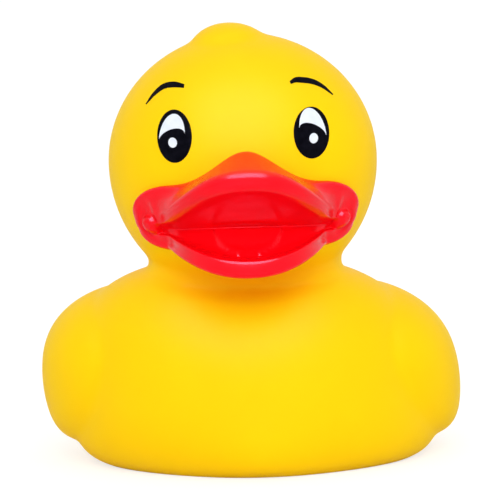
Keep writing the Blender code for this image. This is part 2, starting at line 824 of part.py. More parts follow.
def stroke_rows(points, widths, count):
    """A brush stroke along a smooth line, with its width along it."""
    knots = np.array(points)
    run = np.concatenate([[0], np.cumsum(np.hypot(*np.diff(knots, axis=0).T))])
    at = np.linspace(0, run[-1], count)
    line = np.column_stack([smooth_curve(run, knots[:, i], at) for i in (0, 1)])
    heading = np.gradient(line, axis=0)
    heading /= np.hypot(*heading.T)[:, None]
    side = np.column_stack([-heading[:, 1], heading[:, 0]])
    half = smooth_curve(run, np.array(widths) / 2, at)[:, None]
    return [[tuple(p) for p in line + side * half * s] for s in (-1, 0, 1)]


def smooth_curve(run, values, at):
    """A natural flow through values at the given runs, by cubic pieces."""
    slopes = np.gradient(values, run)
    piece = np.clip(np.searchsorted(run, at, side="right") - 1, 0, len(run) - 2)
    length = run[piece + 1] - run[piece]
    t = (at - run[piece]) / length
    a, b = values[piece], values[piece + 1]
    p, q = slopes[piece] * length, slopes[piece + 1] * length
    return a + t * p + t**2 * (3 * (b - a) - 2 * p - q) + t**3 * (2 * (a - b) + p + q)


def cylinder(name, radius, bottom, top, segments=48):
    bm = bmesh.new()
    bmesh.ops.create_cone(
        bm, cap_ends=True, segments=segments, radius1=radius, radius2=radius, depth=top - bottom
    )
    bmesh.ops.translate(bm, vec=(0, 0, (top + bottom) / 2), verts=bm.verts)
    return as_helper(object_from(name, bm))


def make_films(body, oval, crescent, stroke):
    """The printed eyes and brows over the body, each with its ink, at the given fineness."""
    prints = Prints(body)
    films = []
    for side, eye in (("left", LEFT_EYE), ("right", RIGHT_EYE)):
        black = oval_rows(*eye["oval"], oval)
        brow = stroke_rows(*eye["brow"], stroke)
        white = crescent_rows(*eye["crescent"], crescent)
        glint = oval_rows(*eye["glint"], oval // 2 + 1)
        films += [
            (prints.film(f"eye_black_{side}", black, BLACK_PROUD, BLACK_SINK), BLACK),
            (prints.film(f"brow_{side}", brow, BLACK_PROUD, BLACK_SINK), BLACK),
            (prints.film(f"eye_white_{side}", white, WHITE_PROUD, WHITE_SINK), WHITE),
            (prints.film(f"eye_glint_{side}", glint, WHITE_PROUD, WHITE_SINK), WHITE),
        ]
    return films


def painted(piece, finishes, index):
    """Gives every face of the piece one of the finishes."""
    for finish in finishes:
        piece.data.materials.append(finish)
    for face in piece.data.polygons:
        face.material_index = index
    return piece


def make_duck_body():
    """The shell: outside form, bill, prints, cavity and the seat of the squeaker."""
    lines = BodyLines()
    blanks = [body_blank(lines), neck_blank(), head_blank(), tuft_blank()]
    blanks += [wing_blank(lines, side) for side in (-1, 1)]
    skin = fuse(join_blanks("skin", blanks), SKIN_VOXEL, SKIN_SMOOTHING)

    cavity = as_helper(add_object("cavity", skin.data.copy()))
    inward = cavity.modifiers.new("wall", "DISPLACE")
    inward.strength = -WALL
    inward.mid_level = 0
    fuse(cavity, CAVITY_VOXEL, CAVITY_SMOOTHING)
    thin_out(cavity, CAVITY_TRIANGLES)
    cut_level(cavity, WALL)
    boss = cylinder("boss", RECESS_RADIUS + WALL, 0, RECESS_DEPTH + WALL)
    combine(cavity, boss, "DIFFERENCE")

    finishes = duck_finishes()
    body = painted(cut_level(thin_out(skin, SKIN_TRIANGLES), 0), finishes, YELLOW)
    body.name = body.data.name = "duck_body"
    films = make_films(body, OVAL_ROWS, CRESCENT_POINTS, STROKE_POINTS)
    bill = thin_out(bill_blank(BILL_STATIONS, BILL_ARC_POINTS, BILL_LINE_POINTS), BILL_TRIANGLES)
    combine(body, painted(bill, finishes, RED), "UNION")
    for film, ink in films:
        combine(body, painted(film, finishes, ink), "UNION")
    combine(body, cavity, "DIFFERENCE")
    combine(body, cylinder("recess", RECESS_RADIUS, -WALL, RECESS_DEPTH), "DIFFERENCE")
    combine(body, cylinder("hole", HOLE_RADIUS, -WALL, RECESS_DEPTH + 3 * WALL), "DIFFERENCE")
    body.data.shade_smooth()
    body.data.set_sharp_from_angle(angle=math.radians(45))
    return body


def turned(name, profile, finish, steps=48):
    """A body of revolution about Z from a profile at +X that runs down its outer side."""
    bm = bmesh.new()
    verts = [bm.verts.new((radius, 0, height)) for radius, height in profile]
    for start, end in zip(verts, verts[1:] + verts[:1]):
        bm.edges.new((start, end))
    mesh = bpy.data.meshes.new(name)
    bm.to_mesh(mesh)
    bm.free()
    piece = add_object(name, mesh)
    screw = piece.modifiers.new("turn", "SCREW")
    screw.axis = "Z"
    screw.angle = 2 * math.pi
    screw.steps = screw.render_steps = steps
    screw.use_merge_vertices = True
    screw.merge_threshold = 0.00001
    screw.use_smooth_shade = True
    mesh.materials.append(finish)
    return piece


def make_squeaker_housing():
    """The grooved plug: its flange lies in the recess and its barb grips the wall inside."""
    finish = material("white_squeaker_plastic", (0.80, 0.80, 0.77), 0.35)
    seat = RECESS_DEPTH - GAP
    wall_top = RECESS_DEPTH + WALL
    neck = HOLE_RADIUS - GAP
    flange = RECESS_RADIUS - GAP
    face = seat - FLANGE_THICKNESS
    barb = HOLE_RADIUS + BARB_GRIP
    top = wall_top + GAP + BARB_HEIGHT
    ledge = PLUG_BORE - REED_LIP
    profile = (
        (PLUG_BORE, top),
        (neck - BARB_LEAD, top),
        (barb, wall_top + GAP + BARB_LEAD),
        (barb, wall_top + GAP),
        (neck, wall_top + GAP),
        (neck, seat),
        (flange, seat),
        (flange, face + EDGE_BREAK),
        (flange - EDGE_BREAK, face),
        (ledge, face),
        (ledge, top - REED_LENGTH - GAP),
        (PLUG_BORE, top - REED_LENGTH - GAP),
    )
    return turned("squeaker_housing", profile, finish)


def make_squeaker_reed():
    """The small reed capsule that sounds when air is pressed through it."""
    finish = material("brass_reed", (0.65, 0.48, 0.20), 0.35, metallic=1.0)
    top = RECESS_DEPTH + WALL + GAP + BARB_HEIGHT
    outer = PLUG_BORE - GAP
    profile = (
        (AIR_HOLE, top),
        (outer - EDGE_BREAK, top),
        (outer, top - EDGE_BREAK),
        (outer, top - REED_LENGTH),
        (AIR_HOLE, top - REED_LENGTH),
    )
    return turned("squeaker_reed", profile, finish, steps=32)


def centre_on_origin(pieces):
    """Stands the duck's box centred on the origin, its base on Z = 0."""
    lows, highs = [], []
    for piece in pieces:
        corners = np.array([vertex.co for vertex in evaluated_mesh(piece).vertices])
        lows.append(corners.min(axis=0))
        highs.append(corners.max(axis=0))
    middle = (np.min(lows, axis=0) + np.max(highs, axis=0)) / 2
    for piece in pieces:
        piece.location = (-middle[0], -middle[1], 0)


def main():
    for old in list(bpy.data.objects):
        bpy.data.objects.remove(old)
    pieces = [make_duck_body(), make_squeaker_housing(), make_squeaker_reed()]
    centre_on_origin(pieces)


main()
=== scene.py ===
"""A bath duck of soft yellow vinyl with a painted bill, printed eyes and a squeaker in its base.

Metres, +Z up, the duck looks towards -Y. The shape is drawn in the duck's own axes and put
where the squeaker of the frame stands. The bill and the prints are drawn in the head's axes.
"""

import math

import bmesh
import bpy
import numpy as np
from mathutils import Matrix, Vector
from mathutils.bvhtree import BVHTree


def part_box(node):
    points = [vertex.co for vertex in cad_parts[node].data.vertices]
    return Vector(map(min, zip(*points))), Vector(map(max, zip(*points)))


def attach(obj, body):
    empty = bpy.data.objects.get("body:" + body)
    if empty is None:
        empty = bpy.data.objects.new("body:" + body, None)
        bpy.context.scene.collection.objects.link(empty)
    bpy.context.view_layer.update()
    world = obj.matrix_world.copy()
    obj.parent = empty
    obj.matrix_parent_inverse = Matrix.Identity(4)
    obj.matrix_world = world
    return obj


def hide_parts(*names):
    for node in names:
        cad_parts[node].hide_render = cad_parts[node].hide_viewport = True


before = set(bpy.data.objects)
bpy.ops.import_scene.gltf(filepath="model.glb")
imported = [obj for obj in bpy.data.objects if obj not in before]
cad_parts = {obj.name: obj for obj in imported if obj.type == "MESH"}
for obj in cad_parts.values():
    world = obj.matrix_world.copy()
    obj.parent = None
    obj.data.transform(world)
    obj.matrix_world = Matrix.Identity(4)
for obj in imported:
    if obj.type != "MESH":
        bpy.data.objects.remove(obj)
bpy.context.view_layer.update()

# Body, seen from the side: heights of the back and of the keel along Y
BREAST_Y = -0.0300
BREAST_Z = 0.0150
CREST_Z = 0.0369
BACK_Y = 0.0235
BACK_Z = 0.0290
TAIL_Y = 0.0410
TAIL_Z = 0.0350
BASE_REAR_Y = 0.0080
BASE_SINK = 0.0016

# Body, seen from above and from the front
BODY_HALF_WIDTH = 0.0328
LEAN_SLOPE = -0.078
LEAN_LEVEL_Z = 0.0098
WIDEST_Y = 0.0000
WIDEST_Z = 0.0110
TAIL_ROOT_Y = 0.0330
TAIL_HALF_WIDTH = 0.0105
SHOULDER_POWER = 2.66
KEEL_POWER = 5.0
KEEL_FADE_START_Y = -0.0100
KEEL_FADE_END_Y = 0.0240
FOREFOOT_POWER = 5.0

# How far along the ends of the body's curves are pulled, and the slopes they end with
EVEN_PULL = 0.5
BREAST_POWER = 2.2
CREST_PULLS = (0.45, 0.40)
BACK_PULLS = (0.45, 0.30)
BACK_END_SLOPE = 0.9
KEEL_PULL = 0.62
SIDE_PULLS = (0.55, 0.30)
SIDE_END_SLOPE = 1.6
WAIST_PULLS = (0.62, 0.22)
WAIST_END_SLOPE = -1.1
TAIL_PULL = 0.60

# Head: an ellipsoid, leaning a little to its right on the neck
HEAD_X = -0.00087
HEAD_Y = -0.0090
HEAD_Z = 0.0541
HEAD_HALF_WIDTH = 0.0237
HEAD_HALF_DEPTH = 0.0235
HEAD_CROWN_HEIGHT = 0.0224
HEAD_JAW_HEIGHT = 0.0242
HEAD_LEAN = math.radians(0.2)

# Neck: fills the fold between head and body to a stub of this size
NECK_HALF_WIDTH = 0.0170
NECK_HALF_DEPTH = 0.0145
NECK_LOW_Z = 0.0340
NECK_HIGH_Z = 0.0440

# Tuft on the crown: a low lock, steep on its right side and running out on its left
TUFT_X = -0.0016
TUFT_HALF_WIDTH = 0.0076
TUFT_HALF_LENGTH = 0.0085
TUFT_RISE = 0.0019
TUFT_TILT = math.radians(4)

# Wings: pads that lie along the sides and end in three feather tips
WING_Y = 0.0040
LEFT_WING_RISE = 0.0004
WING_Z = 0.0164
WING_FORWARD = 0.0212
WING_BACKWARD = 0.0250
WING_UPWARD = 0.0143
WING_DOWNWARD = 0.0137
WING_BULGE = 0.00475
WING_PITCH = math.radians(4)
WING_SINK = 0.0060
WING_TAPER = 0.30
WING_RAKE = 0.35
PAD_POWER = 2.4
PAD_CROWN_POWER = 2.9
HIGHEST_SEAT = 0.93
FEATHERS = 3
FEATHER_DEPTH = 0.0014

# Bill, in the head's axes: heights from the line where the jaws meet, reaches forward from
# the middle of the head
BILL_TURN = math.radians(1.4)
MOUTH_Z = -0.0093
UPPER_REACH = 0.0350
UPPER_HALF_WIDTH = 0.0150
UPPER_CORNER_REACH = 0.0164
LOWER_REACH = 0.0333
LOWER_HALF_WIDTH = 0.0136
LOWER_CORNER_REACH = 0.0164
PLAN_POWER = 2.2
PLAN_FULLNESS = 0.6
PLAN_POINTS = 401
CHEEK_Z = 0.0070
CULMEN_RISE = 0.0060
CULMEN_HALF_WIDTH = 0.0072
RIDGE_Z = 0.0107
RIDGE_CORNER_Z = 0.0018
RIDGE_POWER = 2.3
LIP_Z = 0.0060
LIP_CORNER_Z = 0.0004
LIP_SETBACK = 0.0026
BEAD_SHARE = 0.62
RIDGE_RADIUS = 0.0022
BEAD_RADIUS = 0.0010
LIP_RADIUS = 0.0020
MOUTH_RADIUS = 0.0004
MOUTH_DROOP = 0.0005
RIM_Z = -0.0046
RIM_CORNER_Z = -0.0016
RIM_WIDTH = 0.0015
CHIN_Z = -0.0078
CHIN_CORNER_Z = -0.0041
CHIN_POWER = 2.2
CHIN_ROUND = 0.0012
THROAT_RISE = 0.0002
FLOOR_SLOPE = 0.0065
FLOOR_DIP = 0.0003
FLOOR_RADIUS = 0.0030
RIM_RADIUS = 0.0010
TONGUE_REACH = 0.0206
TONGUE_RADIUS = 0.0062
TONGUE_EDGE = 0.0005
TONGUE_RISE = 0.0008

# Lobes at the corners of the mouth: pads on the head, past the corners of the jaws
LOBE_MIDDLE = math.radians(35)
LOBE_END = math.radians(57.8)
LOBE_TIP_Z = 0.0005
LOBE_FOOT_Z = -0.0045
LOBE_ROOT_FOOT_Z = -0.0088
LOBE_TOP_POWER = 1.9
LOBE_FOOT_POWER = 2.5
LOBE_RISE = 0.0013
LOBE_EDGE_POWER = 12
LOBE_RADIUS = 0.0010
LOBE_BLEND = math.radians(1.7)
LOBE_END_TRIM = 0.005
MOUTH_RUN_OUT = math.radians(1.6)
JAW_BLEND = 0.0005
ROOT_DEPTH = 0.0025
ARC_LIMIT = 0.45
BALL_AZIMUTH = math.radians(46.5)
BALL_Z = 0.0001
BALL_RADIUS = 0.0015
BALL_RISE = 0.0007
BALL_GROOVE = 0.0004
GROOVE_PLACE = 1.25
GROOVE_WIDTH = 0.35
DIMPLE_AZIMUTH = math.radians(46.5)
DIMPLE_Z = 0.0029
DIMPLE_RADIUS = 0.0016
DIMPLE_DEPTH = 0.0004

# Printed eyes and brows, as places on the front of the head. An oval and a glint have a
# middle, a half width, a half height and a tilt. A crescent has its left tip, its top, its
# right tip and the top of the pupil. A brow has its places and its widths there.
LEFT_EYE = {
    "oval": ((-0.01155, 0.00625), 0.00299, 0.00444, math.radians(-2.4)),
    "crescent": (
        (-0.01424, 0.00555),
        (-0.01174, 0.00995),
        (-0.00975, 0.00653),
        (-0.01172, 0.00751),
    ),
    "glint": ((-0.01186, 0.00521), 0.00075, 0.00085, 0.0),
    "brow": (
        (
            (-0.01643, 0.01132),
            (-0.01482, 0.01319),
            (-0.01315, 0.01439),
            (-0.01138, 0.01471),
            (-0.00971, 0.01452),
        ),
        (0.00015, 0.00055, 0.00080, 0.00090, 0.00060),
    ),
}
RIGHT_EYE = {
    "oval": ((0.01194, 0.00619), 0.00308, 0.00432, math.radians(2.4)),
    "crescent": (
        (0.00986, 0.00699),
        (0.01197, 0.01024),
        (0.01449, 0.00542),
        (0.01201, 0.00775),
    ),
    "glint": ((0.01226, 0.00527), 0.00075, 0.00085, 0.0),
    "brow": (
        (
            (0.00856, 0.01463),
            (0.00944, 0.01499),
            (0.01065, 0.01490),
            (0.01238, 0.01451),
            (0.01410, 0.01362),
            (0.01592, 0.01204),
        ),
        (0.00050, 0.00080, 0.00090, 0.00080, 0.00055, 0.00015),
    ),
}

# Thickness of the films of ink, and how blunt the tips of a crescent are
TIP_CUT = 0.12
BLACK_PROUD = 0.00006
WHITE_PROUD = 0.00010
BLACK_SINK = 0.00030
WHITE_SINK = 0.00015
FILM_WELD = 0.000002

# Seat of the squeaker
WALL = 0.0017
HOLE_RADIUS = 0.0055
RECESS_RADIUS = 0.0088
RECESS_DEPTH = 0.0013

# Fineness of the surfaces. The bill's line after its corner of this number, counted from 0,
# is the floor of the mouth, which has points of its own
BODY_STATIONS = 120
RING_POINTS = 160
PAD_RINGS = 24
PAD_SPOKES = 160
SKIN_VOXEL = 0.00055
SKIN_SMOOTHING = 22
SMOOTHING_FACTOR = 0.5
SHARP_FOLD = math.radians(50)
HEAD_SEGMENTS = (72, 48)
TUFT_SEGMENTS = (40, 28)
ROUND_SEGMENTS = 48
CURVE_POINTS = 40
ROUNDING_POINTS = 60
BODY_END_TRIM = 0.02
BILL_STATIONS = 301
BILL_ARC_POINTS = 8
BILL_LINE_POINTS = 6
FLOOR_POINTS = 110
MOUTH_CORNER = 5
OVAL_ROWS = 25
CRESCENT_POINTS = 33
STROKE_POINTS = 33

# Names of the finishes, as the record has them
VINYL_SLOT = "yellow_vinyl"
PAINT_SLOT = "red_bill_paint"
BLACK = "black_eye_ink"
WHITE = "white_eye_ink"

# Colours, and how glossy each surface is
VINYL = (0.96, 0.62, 0.0015)
VINYL_DEEP = (0.94, 0.59, 0.001)
# Painted shade: deep orange vinyl under the bill, fading out over an ellipsoid of this place and size,
# where the bill shades the neck
VINYL_PAINTED_SHADE = (0.95, 0.30, 0.001)
PAINTED_SHADE_PLACE = (0, -0.019, 0.036)
PAINTED_SHADE_SIZE = (0.020, 0.014, 0.006)
VINYL_GLOSS = 0.045
VINYL_ROUGHNESS = (0.40, 0.52)
PAINT = (0.90, 0.001, 0.006)
PAINT_DEEP = (0.84, 0.001, 0.004)
# Orange of the bill's top: thin paint, and also a painted reflection of the yellow head
PAINT_THIN_AND_REFLECTED = (0.93, 0.035, 0.004)
PAINT_GLOSS = 0.24
PAINT_ROUGHNESS = (0.18, 0.24)
PAINT_SHEEN_TINT = (1.0, 0.6, 1.0, 1)

# Thin paint on the bill's top, whose orange is also a painted reflection of the yellow head: it starts
# and is complete at these shares of facing up and at these heights
THIN_AND_REFLECTED_FACING = (0.35, 0.85)
THIN_AND_REFLECTED_HEIGHTS = (0.0505, 0.0560)
THIN_GLOSS = 0.08
THIN_ROUGHER = 0.12

# Inks, squeaker and ground
BLACK_INK = (0.001, 0.001, 0.003)
BLACK_INK_PALE = (0.004, 0.004, 0.008)
BLACK_INK_ROUGHNESS = 0.20
WHITE_INK = (0.76, 0.81, 0.89)
WHITE_INK_PALE = (0.70, 0.76, 0.86)
WHITE_INK_ROUGHNESS = 0.28
INK_UNEVENNESS = 1.4
INK_GLOSS = 0.02
PLASTIC = (0.82, 0.82, 0.79)
PLASTIC_WORN = (0.74, 0.74, 0.70)
PLASTIC_ROUGHNESS = 0.34
BRASS = (0.72, 0.50, 0.20)
BRASS_WORN = (0.55, 0.36, 0.14)
BRASS_ROUGHNESS = 0.28
FITTING_UNEVENNESS = 1.5
GROUND = (0.85, 0.85, 0.85)
GROUND_SEEN = (0.4, 0.4, 0.4)
GROUND_GLOW = 0.7
GROUND_SIZE = 2.5
GROUND_GAP = 0.0001
GROUND_ROUGHNESS = 0.9

# Grain of the surfaces: waves per metre of each noise, and heights of the bumps in metres
NOISE_LOW = 0.3
NOISE_HIGH = 0.7
CLOUD_DETAIL = 3
VINYL_WAVES = {"cloud": 55, "grain": 2600, "dapple": 320}
VINYL_BUMPS = {"grain": 0.000012, "dapple": 0.00002}
PAINT_WAVES = {"cloud": 140, "grain": 1500, "dapple": 420}
PAINT_BUMPS = {"grain": 0.000003, "dapple": 0.00001}
INK_WAVES = {"cloud": 900, "grain": 3200}
INK_BUMPS = {"grain": 0.000004}
FITTING_WAVES = {"cloud": 260, "grain": 3000}
FITTING_BUMPS = {"grain": 0.000006}

# Light: name, azimuth and elevation in degrees, size in metres, power of each lamp, and
# whether it lights the duck or shows in its gloss
LIGHT_DISTANCE = 0.8
SURROUND_LIGHT = 0.83
LAMPS = (
    ("lamp_front", 0, 24, (0.40, 0.30), 2.5, "light"),
    ("lamp_right", 35, 40, (0.30, 0.30), 0.3, "light"),
    ("lamp_gloss", -2, 50, (1.00, 0.80), 32, "gloss"),
)

# Camera
AIM_X = 0.00034
AIM_Z = 0.0371
CAMERA_DISTANCE = 0.75
CAMERA_ELEVATION = math.radians(7.0)
CAMERA_ROLL = math.radians(1.4)
LENS = 302.5
SENSOR = 36.0
CLIP_NEAR = 0.01
CLIP_FAR = 10


def smooth(piece):
    """Round pieces are shaded smooth, with their sharp folds kept."""
    piece.data.shade_smooth()
    piece.data.set_sharp_from_angle(angle=SHARP_FOLD)
    return piece


def add_object(name, mesh):
    piece = bpy.data.objects.new(name, mesh)
    bpy.context.collection.objects.link(piece)
    return piece


def as_helper(piece):
    """Marks a cutter or a filler, which is not a piece of the duck."""
    piece.hide_render = True
    piece.display_type = "WIRE"
    return piece


def object_from(name, bm):
    bmesh.ops.recalc_face_normals(bm, faces=bm.faces)
    mesh = bpy.data.meshes.new(name)
    bm.to_mesh(mesh)
    bm.free()
    return add_object(name, mesh)


def loft(name, rings):
    """A closed skin over rings of equal count, with both ends filled."""
    bm = bmesh.new()
    loops = [[bm.verts.new(point) for point in ring] for ring in rings]
    for near, far in zip(loops, loops[1:]):
        for i in range(len(near)):
            j = (i + 1) % len(near)
            bm.faces.new((near[i], near[j], far[j], far[i]))
    bm.faces.new(loops[0])
    bm.faces.new(loops[-1])
    return object_from(name, bm)


def evaluated_mesh(piece):
    """The piece's mesh with its modifiers worked in."""
    graph = bpy.context.evaluated_depsgraph_get()
    return bpy.data.meshes.new_from_object(piece.evaluated_get(graph))


def apply_modifiers(piece):
    mesh = evaluated_mesh(piece)
    piece.modifiers.clear()
    piece.data = mesh
    return piece


def combine(piece, other, operation):
    """Joins another closed solid to the piece, or cuts it away."""
    step = piece.modifiers.new(operation.lower(), "BOOLEAN")
    step.operation = operation
    step.solver = "EXACT"
    step.object = other
    apply_modifiers(piece)
    bpy.data.objects.remove(other)
    return piece


def bezier(start, pull_start, pull_end, end, steps=CURVE_POINTS):
    """Points on a cubic curve, its ends and the two points that pull it."""
    corners = np.array([start, pull_start, pull_end, end])
    t = np.linspace(0, 1, steps)[:, None]
    weights = np.hstack([(1 - t) ** 3, 3 * t * (1 - t) ** 2, 3 * t**2 * (1 - t), t**3])
    return weights @ corners


def outline_of(*curves):
    """A height or width along Y, read from curves that follow one another."""
    points = np.vstack(curves)
    return lambda y: float(np.interp(y, points[:, 0], points[:, 1]))


def rounding(start, end, power=2.0, steps=ROUNDING_POINTS):
    """A rounded corner that leaves `start` upright and reaches `end` level: a quarter of an
    oval, squarer as the power rises over 2."""
    (y0, z0), (y1, z1) = start, end
    turn = np.linspace(0, math.pi / 2, steps)
    along = np.cos(turn) ** (2 / power)
    up = np.sin(turn) ** (2 / power)
    return np.column_stack([y1 + (y0 - y1) * along, z0 + (z1 - z0) * up])


def stern(start, end, pull):
    """A long rounding that leaves `start` level and reaches `end` upright."""
    (y0, z0), (y1, z1) = start, end
    return bezier(start, (y0 + pull * (y1 - y0), z0), (y1, z1 - pull * (z1 - z0)), end)


def sweep(start, end, pull_start=EVEN_PULL, pull_end=EVEN_PULL, end_slope=0.0):
    """A long curve that is level at its start and has the given slope at its end."""
    (y0, z0), (y1, z1) = start, end
    back = pull_end * (y1 - y0)
    return bezier(start, (y0 + pull_start * (y1 - y0), z0), (y1 - back, z1 - back * end_slope), end)


class BodyLines:
    """The lines of the body: back, keel, widest height and half width along Y."""

    def __init__(self):
        breast = (BREAST_Y, BREAST_Z)
        crest = (HEAD_Y, CREST_Z)
        back = (BACK_Y, BACK_Z)
        tail = (TAIL_Y, TAIL_Z)
        broad = (WIDEST_Y, BODY_HALF_WIDTH)
        tail_root = (TAIL_ROOT_Y, TAIL_HALF_WIDTH)
        keel = -BASE_SINK
        self.back = outline_of(
            rounding(breast, crest, BREAST_POWER),
            sweep(crest, back, *CREST_PULLS),
            sweep(back, tail, *BACK_PULLS, end_slope=BACK_END_SLOPE),
        )
        self.keel = outline_of(
            rounding(breast, (WIDEST_Y, keel), FOREFOOT_POWER),
            stern((BASE_REAR_Y, keel), tail, pull=KEEL_PULL),
        )
        self.widest = outline_of(
            sweep(breast, (WIDEST_Y, WIDEST_Z)),
            sweep((WIDEST_Y, WIDEST_Z), tail, *SIDE_PULLS, end_slope=SIDE_END_SLOPE),
        )
        self.half_width = outline_of(
            rounding((BREAST_Y, 0), broad),
            sweep(broad, tail_root, *WAIST_PULLS, end_slope=WAIST_END_SLOPE),
            stern(tail_root, (TAIL_Y, 0), pull=TAIL_PULL),
        )

    def bend(self, y, above):
        """Squareness and height of the upper or the lower half of a section."""
        if above:
            return SHOULDER_POWER, self.back(y) - self.widest(y)
        fullness = (self.half_width(y) / BODY_HALF_WIDTH) ** 3
        fullness *= 1 - soft_step(y, KEEL_FADE_START_Y, KEEL_FADE_END_Y)
        return 2 + (KEEL_POWER - 2) * fullness, self.widest(y) - self.keel(y)

    def ring(self, y):
        """The section across the body at one place along it."""
        middle = self.widest(y)
        points = []
        for i in range(RING_POINTS):
            angle = 2 * math.pi * i / RING_POINTS
            power, height = self.bend(y, math.sin(angle) > 0)
            across, up = squared(math.cos(angle), power), squared(math.sin(angle), power)
            z = middle + height * up
            points.append((self.half_width(y) * across + sway(z), y, z))
        return points

    def side(self, y, z):
        """Half width of the body at one height of one section."""
        middle = self.widest(y)
        power, height = self.bend(y, z > middle)
        up = min(abs(z - middle) / height, HIGHEST_SEAT)
        return self.half_width(y) * (1 - up**power) ** (1 / power)


def soft_step(value, start, end):
    """0 before start, 1 past end, and smooth between."""
    t = min(max((value - start) / (end - start), 0.0), 1.0)
    return t * t * (3 - 2 * t)


def sway(z):
    """The body's slight lean to its right, as a sideways shift that grows with height."""
    return LEAN_SLOPE * (z - LEAN_LEVEL_Z)


def squared(value, power):
    """Cosine or sine of an oval that grows squarer as the power rises over 2."""
    return math.copysign(abs(value) ** (2 / power), value)


def body_blank(lines):
    """Body and tail as one loft along Y, with stations closer together at both ends."""
    middle, half = (TAIL_Y + BREAST_Y) / 2, (TAIL_Y - BREAST_Y) / 2
    turns = np.linspace(BODY_END_TRIM, 1 - BODY_END_TRIM, BODY_STATIONS) * math.pi
    return loft("body_blank", [lines.ring(middle - half * math.cos(turn)) for turn in turns])


def head_place():
    """The head's own axes: its middle, leaning a little to its right."""
    return Matrix.Translation((HEAD_X, HEAD_Y, HEAD_Z)) @ Matrix.Rotation(-HEAD_LEAN, 4, "Y")


def head_half_height(z):
    """The head is a little longer below its middle than above it."""
    return HEAD_CROWN_HEIGHT if z > 0 else HEAD_JAW_HEIGHT


def head_blank():
    bm = bmesh.new()
    bmesh.ops.create_uvsphere(bm, u_segments=HEAD_SEGMENTS[0], v_segments=HEAD_SEGMENTS[1], radius=1)
    for vert in bm.verts:
        x, y, z = vert.co
        vert.co = (x * HEAD_HALF_WIDTH, y * HEAD_HALF_DEPTH, z * head_half_height(z))
    bmesh.ops.transform(bm, matrix=head_place(), verts=bm.verts)
    return object_from("head_blank", bm)


def neck_blank():
    neck = cylinder("neck_blank", 1, NECK_LOW_Z, NECK_HIGH_Z)
    size = Matrix.Diagonal((NECK_HALF_WIDTH, NECK_HALF_DEPTH, 1, 1))
    neck.data.transform(Matrix.Translation((HEAD_X, HEAD_Y, 0)) @ size)
    return neck


def tuft_blank():
    """A low lock of hair across the crown, half sunk into it."""
    bm = bmesh.new()
    bmesh.ops.create_uvsphere(bm, u_segments=TUFT_SEGMENTS[0], v_segments=TUFT_SEGMENTS[1], radius=1)
    sink = 2 * TUFT_RISE
    size = Matrix.Diagonal((TUFT_HALF_WIDTH, TUFT_HALF_LENGTH, TUFT_RISE + sink, 1))
    crown = Matrix.Translation((TUFT_X, 0, HEAD_CROWN_HEIGHT - sink))
    turn = Matrix.Rotation(TUFT_TILT, 4, "Y")
    bmesh.ops.transform(bm, matrix=head_place() @ crown @ turn @ size, verts=bm.verts)
    return object_from("tuft_blank", bm)


def pad(name, outline, surface, rise, sink):
    """A raised pad on a curved surface. `outline(turn)` gives the rim's two coordinates from
    the pad's middle, and `surface(u, v)` the point and the outward direction there."""
    rings = []
    for level in range(PAD_RINGS + 1):
        reach = 1 - level / PAD_RINGS
        reach = math.sin(reach * math.pi / 2)
        lift = rise * math.sqrt(1 - reach**PAD_CROWN_POWER)
        ring = []
        for spoke in range(PAD_SPOKES):
            u, v = outline(2 * math.pi * spoke / PAD_SPOKES)
            point, outward = surface(u * reach, v * reach)
            ring.append(point + outward * lift)
        rings.append(ring)
    middle_ring = rings.pop()
    bottom = []
    for spoke in range(PAD_SPOKES):
        u, v = outline(2 * math.pi * spoke / PAD_SPOKES)
        point, outward = surface(u, v)
        bottom.append(point - outward * sink)
    bm = bmesh.new()
    loops = [[bm.verts.new(point) for point in ring] for ring in [bottom, *rings]]
    for near, far in zip(loops, loops[1:]):
        for i in range(PAD_SPOKES):
            j = (i + 1) % PAD_SPOKES
            bm.faces.new((near[i], near[j], far[j], far[i]))
    bm.faces.new(loops[0])
    top = bm.verts.new(middle_ring[0])
    for i in range(PAD_SPOKES):
        bm.faces.new((loops[-1][i], loops[-1][(i + 1) % PAD_SPOKES], top))
    return object_from(name, bm)


def wing_outline(turn):
    """A leaf shape, blunt in front and ending in feather tips at the back."""
    forward, up = -math.cos(turn), math.sin(turn)
    along = WING_FORWARD if forward < 0 else WING_BACKWARD
    tall = WING_UPWARD if up > 0 else WING_DOWNWARD
    y, z = along * forward, tall * squared(up, PAD_POWER)
    behind = max(0.0, forward)
    scallop = abs(math.sin(FEATHERS * turn)) * behind**2
    y -= WING_RAKE * z * max(0.0, -forward)
    y -= FEATHER_DEPTH * (1 - scallop) * behind
    z *= 1 - WING_TAPER * behind**2
    pitched = Matrix.Rotation(WING_PITCH, 2) @ Vector((y, z))
    return pitched.x, pitched.y


def wing_blank(lines, side):
    """One wing, its bulge measured out from the side of the body."""

    def surface(u, v):
        y, z = WING_Y + u, WING_Z + v + (LEFT_WING_RISE if side < 0 else 0)
        return Vector((side * lines.side(y, z) + sway(z), y, z)), Vector((side, 0, 0))

    return pad(f"wing_blank_{side}", wing_outline, surface, WING_BULGE, WING_SINK)


def join_blanks(name, blanks):
    """The blanks as one helper whose shells still run through each other."""
    bm = bmesh.new()
    for blank in blanks:
        bm.from_mesh(blank.data)
        bpy.data.objects.remove(blank)
    return object_from(name, bm)


def fuse(piece, voxel, smoothing):
    """Melts overlapping shells into one surface with soft hollows between them."""
    remesh = piece.modifiers.new("fuse", "REMESH")
    remesh.mode = "VOXEL"
    remesh.voxel_size = voxel
    soften = piece.modifiers.new("soften", "SMOOTH")
    soften.factor = SMOOTHING_FACTOR
    soften.iterations = smoothing
    return apply_modifiers(piece)


